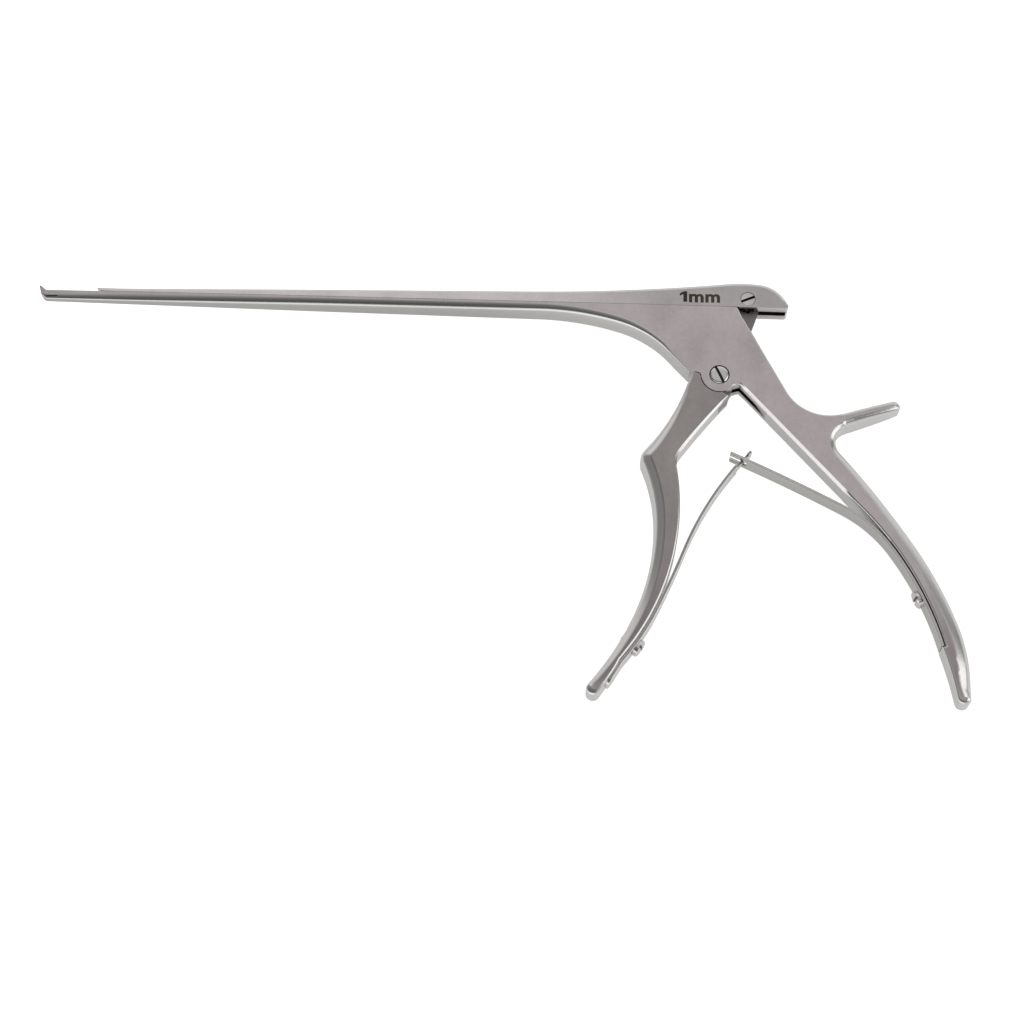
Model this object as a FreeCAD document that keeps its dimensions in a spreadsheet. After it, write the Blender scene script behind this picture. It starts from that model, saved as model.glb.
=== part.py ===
"""A bone rongeur with a long straight shaft, a sliding upper jaw and a sprung trigger handle.

The instrument lies on its side. X runs along the shaft with the jaws at the low end,
Y runs from the handles up to the shaft, and Z is the thickness, from the table up.
The origin is where the pivot axis meets the table. Every length is in millimetres.
"""

import FreeCAD
import Part
import math
import os
import Sketcher

DIMENSIONS = {
    # the forging, seen from the side
    "plate_thickness": 8.5,
    "parting_height": 23.15,
    "shaft_depth": 2.85,
    "shaft_reach": 210.4,
    "shaft_tip_width": 3.0,
    "shaft_mid_width": 5.9,
    "shaft_mid_reach": 130.0,
    "shaft_full_reach": 25.0,
    "plan_overrun": 4.0,
    "throat_start": 56.0,
    "throat_mid_x": 31.0,
    "throat_mid_drop": 6.45,
    "throat_end_x": 15.3,
    "throat_end_y": 6.95,
    "heel_x": 9.35,
    "housing_rear_x": 5.4,
    "edge_round": 0.6,
    # the footplate at the tip
    "foot_height": 1.45,
    "foot_slant": 39.0,
    "foot_land": 0.55,
    "foot_sole_lead": 1.5,
    "foot_sole_rise": 1.5,
    # the pivot
    "boss_radius": 5.6,
    "boss_start_angle": 188.0,
    "boss_end_angle": 320.0,
    "pivot_bore": 3.6,
    "pivot_clearance": 0.05,
    "pivot_head_diameter": 6.0,
    "pivot_head_seat": 1.4,
    "pivot_head_crown": 0.45,
    "pivot_slot_angle": -64.0,
    "drive_slot_angle": 23.6,
    "driver_slot_width": 0.8,
    "driver_slot_depth": 0.8,
    "screw_end_inset": 0.3,
    # the rear handle
    "crotch_x": 6.3,
    "crotch_y": 3.0,
    "seat_top_x": 40.0,
    "seat_top_y": 39.5,
    "seat_radius": 99.9,
    "seat_top_angle": 46.3,
    "seat_end_angle": 15.3,
    "rear_inner_radius": 130.0,
    "rear_end_run": 3.15,
    "rear_end_drop": 15.75,
    "rear_end_radius": 2.2,
    "rear_end_width": 4.35,
    "palm_end_rise": 5.4,
    "palm_start_x": 37.2,
    "palm_start_y": 24.4,
    "palm_upper_x": 58.8,
    "palm_upper_y": 52.4,
    "palm_lower_x": 71.5,
    "palm_lower_y": 77.3,
    "palm_round": 1.6,
    # the thumb spur
    "spur_root_x": 26.5,
    "spur_root_y": 15.2,
    "spur_root_radius": 14.5,
    "spur_top_x": 53.6,
    "spur_top_y": 6.4,
    "spur_low_x": 55.0,
    "spur_low_y": 9.6,
    "spur_crook_x": 31.6,
    "spur_crook_y": 18.3,
    "spur_crook_radius": 5.5,
    "spur_end_radius": 1.8,
    # the slot for the lever arm
    "arm_thickness": 2.4,
    "arm_side_clearance": 0.1,
    "arm_half_width": 4.2,
    "arm_swing_clearance": 0.6,
    "hub_clearance": 0.5,
    "slot_foot": 2.6,
    "slot_runout_x": 16.4,
    "slot_runout_y": 14.6,
    # the keyed rails between shaft and slide
    "rail_neck_width": 1.4,
    "rail_neck_height": 0.55,
    "rail_head_width": 2.7,
    "rail_head_height": 0.75,
    "rail_clearance": 0.1,
    "front_rail_reach": 150.0,
    "front_rail_length": 20.0,
    "rear_rail_reach": 62.0,
    "rear_rail_length": 20.0,
    # the slide
    "jaw_gap": 0.06,
    "slide_gap": 0.05,
    "slide_side_inset": 0.1,
    "slide_tip_height": 1.2,
    "slide_waist_reach": 60.0,
    "slide_waist_height": 3.75,
    "slide_crown_x": 2.0,
    "slide_crown_height": 8.25,
    "slide_brow_x": 12.5,
    "slide_brow_height": 8.35,
    "slide_tail_x": 21.0,
    "slide_tail_height": 2.1,
    "slide_end_x": 21.8,
    "slide_edge_round": 0.6,
    "travel": 17.3,
    "window_start": 3.0,
    "window_end": 14.6,
    "window_top": 30.1,
    "tail_slot_end": 20.7,
    "tail_slot_depth": 2.2,
    "relief_start": 8.0,
    "relief_end": 10.8,
    "relief_depth": 1.7,
    "relief_wall": 1.0,
    # the drive screw that joins the lever arm to the slide
    "drive_x": 8.75,
    "drive_height": 26.0,
    "drive_shank": 3.0,
    "drive_head_diameter": 4.6,
    "drive_head_depth": 1.5,
    "drive_fit": 0.02,
    "drive_inset": 0.05,
    # the lever arm and its fork
    "fork_play": 0.2,
    "fork_overreach": 1.2,
    "hub_radius": 5.4,
    "joint_gap": 0.3,
    # the front handle
    "horn_x": 7.2,
    "horn_y": 0.86,
    "horn_radius": 1.35,
    "horn_left_angle": 160.0,
    "front_top_x": 9.8,
    "front_top_y": 3.2,
    "front_left_radius": 63.0,
    "knuckle_x": 22.6,
    "knuckle_y": 24.9,
    "knuckle_low_x": 23.4,
    "knuckle_low_y": 29.6,
    "finger_mid_x": 19.3,
    "finger_mid_y": 50.0,
    "finger_low_x": 24.7,
    "finger_low_y": 77.4,
    "back_top_x": 12.7,
    "back_top_y": 30.6,
    "back_radius": 78.0,
    "back_top_angle": 9.67,
    "back_end_angle": 38.8,
    "front_tip_run": 5.85,
    "front_tip_drop": 10.15,
    "front_toe_run": 3.1,
    "front_toe_drop": 0.6,
    "finger_end_run": 3.55,
    "finger_end_rise": 2.45,
    "front_bend_x": 11.6,
    "front_bend_y": 25.7,
    "front_corner_x": 2.9,
    "front_corner_y": 6.9,
    "web_depth": 10.4,
    "finger_round": 1.8,
    # the leaf springs and their screws
    "leaf_thickness": 1.0,
    "leaf_width": 6.4,
    "leaf_gap": 0.05,
    "front_leaf_end_run": 4.1,
    "front_leaf_end_drop": 8.25,
    "front_leaf_leave_angle": 25.0,
    "front_leaf_bend_x": 10.2,
    "front_leaf_bend_y": 57.4,
    "front_leaf_tip_x": 10.0,
    "front_leaf_tip_y": 24.2,
    "tongue_width": 2.2,
    "tongue_start_x": 5.4,
    "tee_width": 3.6,
    "tee_length": 1.1,
    "rear_leaf_leave_angle": 35.0,
    "rear_leaf_bend_x": 37.5,
    "rear_leaf_bend_y": 41.7,
    "rear_leaf_tip_x": 3.6,
    "rear_leaf_tip_y": 25.4,
    "fork_slot_width": 2.9,
    "fork_slot_end_x": 8.7,
    "spring_screw_shank": 2.8,
    "spring_screw_length": 4.2,
    "spring_screw_head": 5.4,
    "spring_screw_head_height": 1.3,
    "spring_screw_crown": 0.35,
    "spring_screw_fit": 0.02,
    "front_screw_angle": 33.7,
    "rear_screw_angle": 25.2,
}

XY = "XY_Plane"
XZ = "XZ_Plane"
SHEET = "Dims"


class Size:
    """A number and the expression that gives it, so that a sketch starts solved and stays bound."""

    def __init__(self, value, text):
        self.value = float(value)
        self.text = text

    def __add__(self, other):
        other = size_of(other)
        return Size(self.value + other.value, f"({self.text} + {other.text})")

    def __radd__(self, other):
        return size_of(other) + self

    def __sub__(self, other):
        other = size_of(other)
        return Size(self.value - other.value, f"({self.text} - {other.text})")

    def __rsub__(self, other):
        return size_of(other) - self

    def __mul__(self, other):
        other = size_of(other)
        return Size(self.value * other.value, f"({self.text} * {other.text})")

    def __rmul__(self, other):
        return size_of(other) * self

    def __truediv__(self, other):
        other = size_of(other)
        return Size(self.value / other.value, f"({self.text} / {other.text})")

    def __neg__(self):
        return Size(-self.value, f"(0 - {self.text})")


def size_of(number):
    if isinstance(number, Size):
        return number
    return Size(number, repr(float(number)))


def cosine(angle):
    return Size(math.cos(math.radians(angle.value)), f"cos({angle.text} * 1 deg)")


def sine(angle):
    return Size(math.sin(math.radians(angle.value)), f"sin({angle.text} * 1 deg)")


def root(square):
    return Size(math.sqrt(square.value), f"sqrt({square.text})")


def polar(centre_x, centre_y, radius, angle):
    """The point at a radius and an angle, in degrees from +X, about a centre."""
    return centre_x + radius * cosine(angle), centre_y + radius * sine(angle)


def seat_centre(dims):
    """The centre of the rear handle's spring seat, set back from its top end."""
    turned = polar(size_of(0), size_of(0), dims.seat_radius, dims.seat_top_angle)
    return dims.seat_top_x - turned[0], -dims.seat_top_y - turned[1]


def back_centre(dims):
    """The centre of the front handle's back, set back from its top end."""
    turned = polar(size_of(0), size_of(0), dims.back_radius, dims.back_top_angle)
    return -dims.back_top_x - turned[0], -dims.back_top_y - turned[1]


class Dimensions:
    """The spreadsheet's cells by name, each as a Size."""

    def __init__(self, doc):
        self.sheet = doc.addObject("Spreadsheet::Sheet", SHEET)
        for row, (name, number) in enumerate(DIMENSIONS.items(), start=1):
            self.sheet.set(f"A{row}", name.replace("_", " "))
            self.sheet.set(f"B{row}", str(number))
            self.sheet.setAlias(f"B{row}", name)
        doc.recompute()

    def __getattr__(self, name):
        return Size(getattr(self.__dict__["sheet"], name), f"{SHEET}.{name}")


def bind(obj, prop, size):
    """Sets a property and ties it to its expression."""
    size = size_of(size)
    if "." not in prop:
        setattr(obj, prop, size.value)
    obj.setExpression(prop, size.text)


class Outline:
    """A closed or open profile of lines and arcs whose ends are bound to the sheet.

    Each step starts where the last one ended. An arc is given by its radius and the side
    it turns to, a smooth arc leaves in the direction of the step before it, and a rounded
    corner is cut back from its two neighbours."""

    def __init__(self, sketch):
        self.sketch = sketch
        self.points = []
        self.steps = []

    def start(self, x, y):
        self.points.append((size_of(x), size_of(y)))
        return self

    def line(self, x, y):
        return self._step("line", x, y)

    def arc(self, x, y, radius, left):
        return self._step("arc", x, y, radius=size_of(radius), left=left)

    def smooth(self, x, y):
        return self._step("smooth", x, y)

    def corner(self, x, y, radius):
        """A line towards x, y whose corner there is rounded before the next line."""
        return self._step("corner", x, y, radius=size_of(radius))

    def _step(self, kind, x, y, **more):
        self.steps.append(dict(kind=kind, **more))
        self.points.append((size_of(x), size_of(y)))
        return self

    def close(self):
        """The last step has to end on the first point."""
        self.draw(closed=True)

    def draw(self, closed=False):
        place = [FreeCAD.Vector(x.value, y.value, 0) for x, y in self.points]
        starts = list(place)
        cuts = {}
        for i, step in enumerate(self.steps):
            if step["kind"] == "corner":
                cuts[i + 1] = round_corner(place[i], place[i + 1], place[i + 2], step["radius"].value)
        heading = None
        drawn = []
        for i, step in enumerate(self.steps):
            first = cuts[i][1] if i in cuts else starts[i]
            last = cuts[i + 1][0] if i + 1 in cuts else starts[i + 1]
            if i in cuts:
                drawn.append(("round", i, self._arc(*cuts[i])))
            if step["kind"] in ("line", "corner"):
                index = self.sketch.addGeometry(Part.LineSegment(first, last))
                drawn.append(("line", i, (index, 1, 2)))
                heading = (last - first).normalize()
                continue
            if step["kind"] == "arc":
                centre = arc_centre(first, last, step["radius"].value, step["left"])
                turn_left = step["left"]
            else:
                centre, turn_left = smooth_centre(first, last, heading)
            drawn.append((step["kind"], i, self._arc(first, last, centre, turn_left)))
            spoke = last - centre
            heading = FreeCAD.Vector(-spoke.y, spoke.x, 0).normalize()
            if not turn_left:
                heading = heading * -1
        self._constrain(drawn, cuts, closed)

    def _arc(self, first, last, centre, left):
        radius = (first - centre).Length
        begin = math.atan2(first.y - centre.y, first.x - centre.x)
        end = math.atan2(last.y - centre.y, last.x - centre.x)
        if not left:
            begin, end = end, begin
        circle = Part.Circle(centre, FreeCAD.Vector(0, 0, 1), radius)
        index = self.sketch.addGeometry(Part.ArcOfCircle(circle, begin, end))
        return (index, 1, 2) if left else (index, 2, 1)

    def _constrain(self, drawn, cuts, closed):
        add = self.sketch.addConstraint
        for k, (kind, i, (index, first, last)) in enumerate(drawn):
            if kind != "round" and i not in cuts:
                self._pin(index, first, self.points[i])
            if k + 1 < len(drawn):
                follower, start = drawn[k + 1][2][0], drawn[k + 1][2][1]
                tangent = "round" in (kind, drawn[k + 1][0]) or drawn[k + 1][0] == "smooth"
                word = "Tangent" if tangent else "Coincident"
                add(Sketcher.Constraint(word, index, last, follower, start))
            if kind == "arc":
                self._size("Radius", (index,), self.steps[i]["radius"])
            if kind == "round":
                self._size("Radius", (index,), self.steps[i - 1]["radius"])
                self._corner_point(self.points[i], drawn[k - 1][2][0], drawn[k + 1][2][0])
        index, first, last = drawn[-1][2]
        if closed:
            add(Sketcher.Constraint("Coincident", index, last, drawn[0][2][0], drawn[0][2][1]))
        else:
            self._pin(index, last, self.points[-1])

    def _corner_point(self, point, before, after):
        """The virtual corner lies on both lines that its round joins."""
        place = FreeCAD.Vector(point[0].value, point[1].value, 0)
        index = self.sketch.addGeometry(Part.Point(place), True)
        self._pin(index, 1, point)
        for line in (before, after):
            self.sketch.addConstraint(Sketcher.Constraint("PointOnObject", index, 1, line))

    def _pin(self, index, end, point):
        for word, size in zip(("DistanceX", "DistanceY"), point):
            self._size(word, (-1, 1, index, end), size)

    def _size(self, word, where, size):
        number = self.sketch.addConstraint(Sketcher.Constraint(word, *where, size.value))
        self.sketch.setExpression(f"Constraints[{number}]", size.text)


def arc_centre(first, last, radius, left):
    chord = last - first
    side = FreeCAD.Vector(-chord.y, chord.x, 0).normalize()
    if not left:
        side = side * -1
    rise = math.sqrt(radius**2 - (chord.Length / 2) ** 2)
    return (first + last) * 0.5 + side * rise


def smooth_centre(first, last, heading):
    """The centre of the arc that leaves first along heading and ends at last."""
    side = FreeCAD.Vector(-heading.y, heading.x, 0)
    chord = last - first
    reach = chord.dot(chord) / (2 * chord.dot(side))
    return first + side * reach, reach > 0


def round_corner(before, corner, after, radius):
    """Where a round starts and ends beside a corner, its centre, and whether it turns left."""
    back = (before - corner).normalize()
    ahead = (after - corner).normalize()
    half = back.getAngle(ahead) / 2
    reach = radius / math.tan(half)
    middle = (back + ahead).normalize()
    centre = corner + middle * (radius / math.sin(half))
    left = back.cross(ahead).z < 0
    return corner + back * reach, corner + ahead * reach, centre, left


def new_body(doc, label):
    body = doc.addObject("PartDesign::Body", "".join(word.title() for word in label.split("_")))
    body.Label = label
    return body


def new_sketch(body, name, role=XY, height=None):
    """A sketch on one of the body's own origin planes, lifted by height along its normal."""
    sketch = body.newObject("Sketcher::SketchObject", name)
    plane = [item for item in body.Origin.OriginFeatures if item.Role == role][0]
    sketch.AttachmentSupport = [(plane, "")]
    sketch.MapMode = "FlatFace"
    if height is not None:
        bind(sketch, "AttachmentOffset.Base.z", height)
    return sketch


def feature(body, kind, name, sketch, length=None, midplane=False, through=False, reverse=False):
    """A pad or pocket of a sketch."""
    item = body.newObject(f"PartDesign::{kind}", name)
    item.Profile = sketch
    if midplane:
        item.SideType = "Symmetric"
    if reverse:
        item.Reversed = True
    if through:
        item.Type = "ThroughAll"
    else:
        bind(item, "Length", length)
    sketch.Visibility = False
    return item


def rectangle(sketch, x_low, y_low, x_high, y_high):
    outline = Outline(sketch).start(x_low, y_low).line(x_high, y_low).line(x_high, y_high)
    outline.line(x_low, y_high).line(x_low, y_low).close()


def circle(sketch, x, y, radius):
    x, y, radius = size_of(x), size_of(y), size_of(radius)
    centre = FreeCAD.Vector(x.value, y.value, 0)
    index = sketch.addGeometry(Part.Circle(centre, FreeCAD.Vector(0, 0, 1), radius.value))
    for word, size in (("DistanceX", x), ("DistanceY", y)):
        number = sketch.addConstraint(Sketcher.Constraint(word, -1, 1, index, 3, size.value))
        sketch.setExpression(f"Constraints[{number}]", size.text)
    number = sketch.addConstraint(Sketcher.Constraint("Radius", index, radius.value))
    sketch.setExpression(f"Constraints[{number}]", radius.text)


def half_width(dims, x):
    """Half the width of the tapered forging at a place along the shaft."""
    stations = [
        (-dims.shaft_reach.value, dims.shaft_tip_width.value / 2),
        (-dims.shaft_mid_reach.value, dims.shaft_mid_width.value / 2),
        (-dims.shaft_full_reach.value, dims.plate_thickness.value / 2),
    ]
    if x <= stations[0][0]:
        return stations[0][1]
    for (x_low, low), (x_high, high) in zip(stations, stations[1:]):
        if x <= x_high:
            return low + (high - low) * (x - x_low) / (x_high - x_low)
    return stations[-1][1]


def rim_edges(body, dims, inset, wanted, tapered=True):
    """Edges along the outline of the two flat sides whose ends and middle all pass a test."""
    body.Document.recompute()
    middle = dims.plate_thickness.value / 2
    names = []
    for number, edge in enumerate(body.Tip.Shape.Edges, start=1):
        points = [vertex.Point for vertex in edge.Vertexes]
        points.append(edge.valueAt((edge.FirstParameter + edge.LastParameter) / 2))
        halves = [half_width(dims, p.x) if tapered else middle for p in points]
        on_side = all(abs(abs(p.z - middle) - half + inset) < 0.02 for p, half in zip(points, halves))
        upright = tapered and abs(points[0].x - points[-1].x) < 0.01 and points[0].x < 0
        if on_side and not upright and all(wanted(p) for p in points):
            names.append(f"Edge{number}")
    return names


def rounded(body, name, radius, names):
    base = body.Tip
    item = body.newObject("PartDesign::Fillet", name)
    item.Base = (base, names)
    bind(item, "Radius", radius)
    return item


def plan_taper(body, dims, inset):
    """Narrows a part along the shaft, seen from above, to the width at the tip."""
    sketch = new_sketch(body, "plan_taper", XZ)
    middle = dims.plate_thickness / 2
    beyond = -dims.shaft_reach - dims.plan_overrun
    for side in (1, -1):
        tip = middle + side * (dims.shaft_tip_width / 2 - inset)
        waist = middle + side * (dims.shaft_mid_width / 2 - inset)
        full = middle + side * (dims.plate_thickness / 2 - inset)
        clear = middle + side * (dims.plate_thickness / 2 + dims.plan_overrun)
        outline = Outline(sketch).start(beyond, tip).line(-dims.shaft_reach, tip)
        outline.line(-dims.shaft_mid_reach, waist).line(-dims.shaft_full_reach, full)
        outline.line(-dims.shaft_full_reach, clear).line(beyond, clear).line(beyond, tip).close()
    return feature(body, "Pocket", "plan_taper_cut", sketch, through=True, midplane=True)


def frame_profile(body, dims):
    """The side view of the forging: footplate, shaft, housing, spur and rear handle."""
    top = dims.parting_height
    sole = top - dims.shaft_depth
    slope = sine(dims.foot_slant) / cosine(dims.foot_slant)
    foot_lead = dims.foot_height / slope
    outline = Outline(new_sketch(body, "side_profile"))
    outline.start(-dims.shaft_reach, top)
    outline.line(-dims.shaft_reach - foot_lead, top + dims.foot_height)
    outline.line(-dims.shaft_reach - foot_lead - dims.foot_land, top + dims.foot_height)
    outline.line(-dims.shaft_reach - dims.foot_sole_lead, sole + dims.foot_sole_rise)
    outline.arc(-dims.shaft_reach, sole, 3.0, left=True)
    outline.line(-dims.throat_start, sole)
    outline.smooth(-dims.throat_mid_x, top - dims.throat_mid_drop)
    outline.smooth(-dims.throat_end_x, dims.throat_end_y)
    recess = dims.horn_radius + dims.joint_gap
    outline.line(-dims.heel_x, recess - dims.horn_y)
    start = polar(size_of(0), size_of(0), dims.boss_radius, dims.boss_start_angle)
    end = polar(size_of(0), size_of(0), dims.boss_radius, dims.boss_end_angle)
    outline.line(-dims.horn_x, recess - dims.horn_y)
    outline.arc(start[0], start[1], recess, left=False)
    outline.arc(end[0], end[1], dims.boss_radius, left=True)
    outline.line(dims.crotch_x, -dims.crotch_y)
    centre = seat_centre(dims)
    seat_end = polar(*centre, dims.seat_radius, dims.seat_end_angle)
    outline.line(dims.seat_top_x, -dims.seat_top_y)
    outline.arc(*seat_end, dims.seat_radius, left=False)
    flush = dims.seat_radius - dims.leaf_thickness - dims.leaf_gap
    outline.line(*polar(*centre, flush, dims.seat_end_angle))
    end_x = seat_end[0] + dims.rear_end_run
    end_y = seat_end[1] - dims.rear_end_drop
    outline.arc(end_x, end_y, dims.rear_inner_radius, left=False)
    outline.arc(end_x + dims.rear_end_width, end_y, dims.rear_end_radius, left=True)
    outline.line(end_x + dims.rear_end_width, end_y + dims.palm_end_rise)
    outline.smooth(dims.palm_lower_x, -dims.palm_lower_y)
    outline.smooth(dims.palm_upper_x, -dims.palm_upper_y)
    outline.smooth(dims.palm_start_x, -dims.palm_start_y)
    outline.corner(dims.spur_crook_x, -dims.spur_crook_y, dims.spur_crook_radius)
    outline.line(dims.spur_low_x, -dims.spur_low_y)
    outline.arc(dims.spur_top_x, -dims.spur_top_y, dims.spur_end_radius, left=True)
    outline.corner(dims.spur_root_x, -dims.spur_root_y, dims.spur_root_radius)
    outline.line(dims.housing_rear_x, top)
    outline.line(-dims.shaft_reach, top)
    outline.close()
    return outline.sketch


def arm_slot(body, dims):
    """The slot through the middle of the housing in which the lever arm swings."""
    width = dims.arm_thickness + 2 * dims.arm_side_clearance
    lean = dims.drive_x / dims.drive_height
    spread = dims.arm_half_width + dims.arm_swing_clearance
    top = dims.parting_height + 1
    mouth = top * lean + spread
    waist = dims.hub_radius + dims.hub_clearance
    foot = dims.slot_foot
    sketch = new_sketch(body, "arm_slot", height=dims.plate_thickness / 2)
    outline = Outline(sketch).start(-mouth, top).line(-waist, foot).line(-waist, 0)
    outline.arc(0, -waist, waist, left=True).arc(waist, 0, waist, left=True)
    outline.line(waist, foot).line(mouth, top).line(-mouth, top).close()
    feature(body, "Pocket", "arm_slot_cut", sketch, width, midplane=True)
    sketch = new_sketch(body, "slot_runout", height=dims.plate_thickness / 2)
    outline = Outline(sketch).start(0, 0).line(waist, 0).line(dims.slot_runout_x, -dims.slot_runout_y)
    outline.line(dims.crotch_x, -dims.slot_runout_y).line(0, 0).close()
    feature(body, "Pocket", "slot_runout_cut", sketch, width, midplane=True)


def rails(body, dims, name, reach, length):
    """A keyed rail on the parting face that holds the slide down."""
    top = dims.parting_height
    neck = new_sketch(body, f"{name}_neck", height=dims.plate_thickness / 2)
    rectangle(neck, -reach, top - 0.2, -reach + length, top + dims.rail_neck_height + 0.1)
    feature(body, "Pad", f"{name}_neck_pad", neck, dims.rail_neck_width, midplane=True)
    head = new_sketch(body, f"{name}_head", height=dims.plate_thickness / 2)
    low = top + dims.rail_neck_height
    rectangle(head, -reach, low, -reach + length, low + dims.rail_head_height)
    feature(body, "Pad", f"{name}_head_pad", head, dims.rail_head_width, midplane=True)


def rail_channel(body, dims, name, reach, length):
    """The channel in the slide that a rail runs in, longer than the rail by the travel."""
    gap = dims.rail_clearance
    start = -reach - gap
    end = -reach + length + dims.travel + gap
    top = dims.parting_height
    neck = new_sketch(body, f"{name}_neck", height=dims.plate_thickness / 2)
    rectangle(neck, start, top - 1, end, top + dims.rail_neck_height)
    feature(body, "Pocket", f"{name}_neck_cut", neck, dims.rail_neck_width + 2 * gap, midplane=True)
    head = new_sketch(body, f"{name}_head", height=dims.plate_thickness / 2)
    low = top + dims.rail_neck_height - gap
    high = top + dims.rail_neck_height + dims.rail_head_height + gap
    rectangle(head, start, low, end, high)
    feature(body, "Pocket", f"{name}_head_cut", head, dims.rail_head_width + 2 * gap, midplane=True)


def round_bore(body, name, x, y, radius, depth=None, height=None):
    """A bore along the thickness, right through or down from a height by a depth."""
    sketch = new_sketch(body, name, height=height)
    circle(sketch, x, y, radius)
    if depth is None:
        feature(body, "Pocket", f"{name}_cut", sketch, through=True, midplane=True)
    else:
        feature(body, "Pocket", f"{name}_cut", sketch, depth)


def screw_place(dims, side):
    """Where a spring screw enters its handle, and the angle its head faces."""
    if side == "front":
        angle = -dims.front_screw_angle
        return *polar(*back_centre(dims), dims.back_radius, angle), angle
    angle = dims.rear_screw_angle
    return *polar(*seat_centre(dims), dims.seat_radius, angle), angle + 180


def turned(body, dims, kind, name, side, stations):
    """A revolved shape about a spring screw's axis; stations are (height above seat, radius)."""
    x, y, angle = screw_place(dims, side)
    along = (cosine(angle), sine(angle))
    across = (-sine(angle), cosine(angle))
    sketch = new_sketch(body, name, height=dims.plate_thickness / 2)
    places = []
    for rise, radius in stations:
        rise, radius = size_of(rise), size_of(radius)
        places.append((x + rise * along[0] + radius * across[0], y + rise * along[1] + radius * across[1]))
    outline = Outline(sketch).start(*places[0])
    for place in places[1:] + places[:1]:
        outline.line(*place)
    outline.close()
    item = body.newObject(f"PartDesign::{kind}", f"{name}_turned")
    item.Profile = sketch
    item.ReferenceAxis = (sketch, [f"Edge{len(places)}"])
    item.Angle = 360
    sketch.Visibility = False
    return item


def make_fixed_frame(doc, dims):
    """The one-piece forging: footplate, grooved shaft, housing, spur and rear handle."""
    body = new_body(doc, "fixed_frame")
    sketch = frame_profile(body, dims)
    feature(body, "Pad", "plate", sketch, dims.plate_thickness)
    plan_taper(body, dims, 0)
    centre_x, centre_y = seat_centre(dims)
    palm_reach = dims.seat_radius.value + dims.palm_round.value
    crook = dims.spur_crook_x.value - dims.rail_head_width.value
    parting = dims.parting_height.value
    foot = -dims.shaft_reach.value + 1
    boss = dims.boss_radius.value + 4
    spur_end = dims.spur_top_x.value - 0.1
    spur_root = FreeCAD.Vector(dims.spur_root_x.value, -dims.spur_root_y.value, 0)
    spur_root = (spur_root + FreeCAD.Vector(dims.spur_crook_x.value, -dims.spur_crook_y.value, 0)) * 0.5
    spur_tip = FreeCAD.Vector(dims.spur_top_x.value, -dims.spur_top_y.value, 0)
    spur_tip = (spur_tip + FreeCAD.Vector(dims.spur_low_x.value, -dims.spur_low_y.value, 0)) * 0.5
    slope = (spur_tip.y - spur_root.y) / (spur_tip.x - spur_root.x)

    def on_palm(point):
        reach = math.hypot(point.x - centre_x.value, point.y - centre_y.value)
        below_spur = point.y < spur_root.y + slope * (point.x - spur_root.x)
        return point.x > crook and reach > palm_reach and (below_spur or point.x > spur_end)

    def elsewhere(point):
        on_parting = point.y > parting - 0.05 and point.x < dims.housing_rear_x.value + 0.05
        near_pivot = math.hypot(point.x, point.y) < boss
        return not on_parting and not near_pivot and point.x > foot and not on_palm(point)

    rounded(body, "palm_round", dims.palm_round, rim_edges(body, dims, 0, on_palm))
    rounded(body, "edge_round", dims.edge_round, rim_edges(body, dims, 0, elsewhere))
    arm_slot(body, dims)
    rails(body, dims, "front_rail", dims.front_rail_reach, dims.front_rail_length)
    rails(body, dims, "rear_rail", dims.rear_rail_reach, dims.rear_rail_length)
    round_bore(body, "pivot_bore", 0, 0, dims.pivot_bore / 2)
    fit = dims.pivot_clearance
    round_bore(body, "pivot_counterbore", 0, 0, dims.pivot_head_diameter / 2 + fit,
               dims.pivot_head_seat + fit, dims.plate_thickness)
    bore = dims.spring_screw_shank / 2 + dims.spring_screw_fit
    depth = dims.spring_screw_length + 0.4
    stations = [(-depth, 0), (-depth, bore), (2, bore), (2, 0)]
    turned(body, dims, "Groove", "spring_screw_bore", "rear", stations)
    return body


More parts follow.
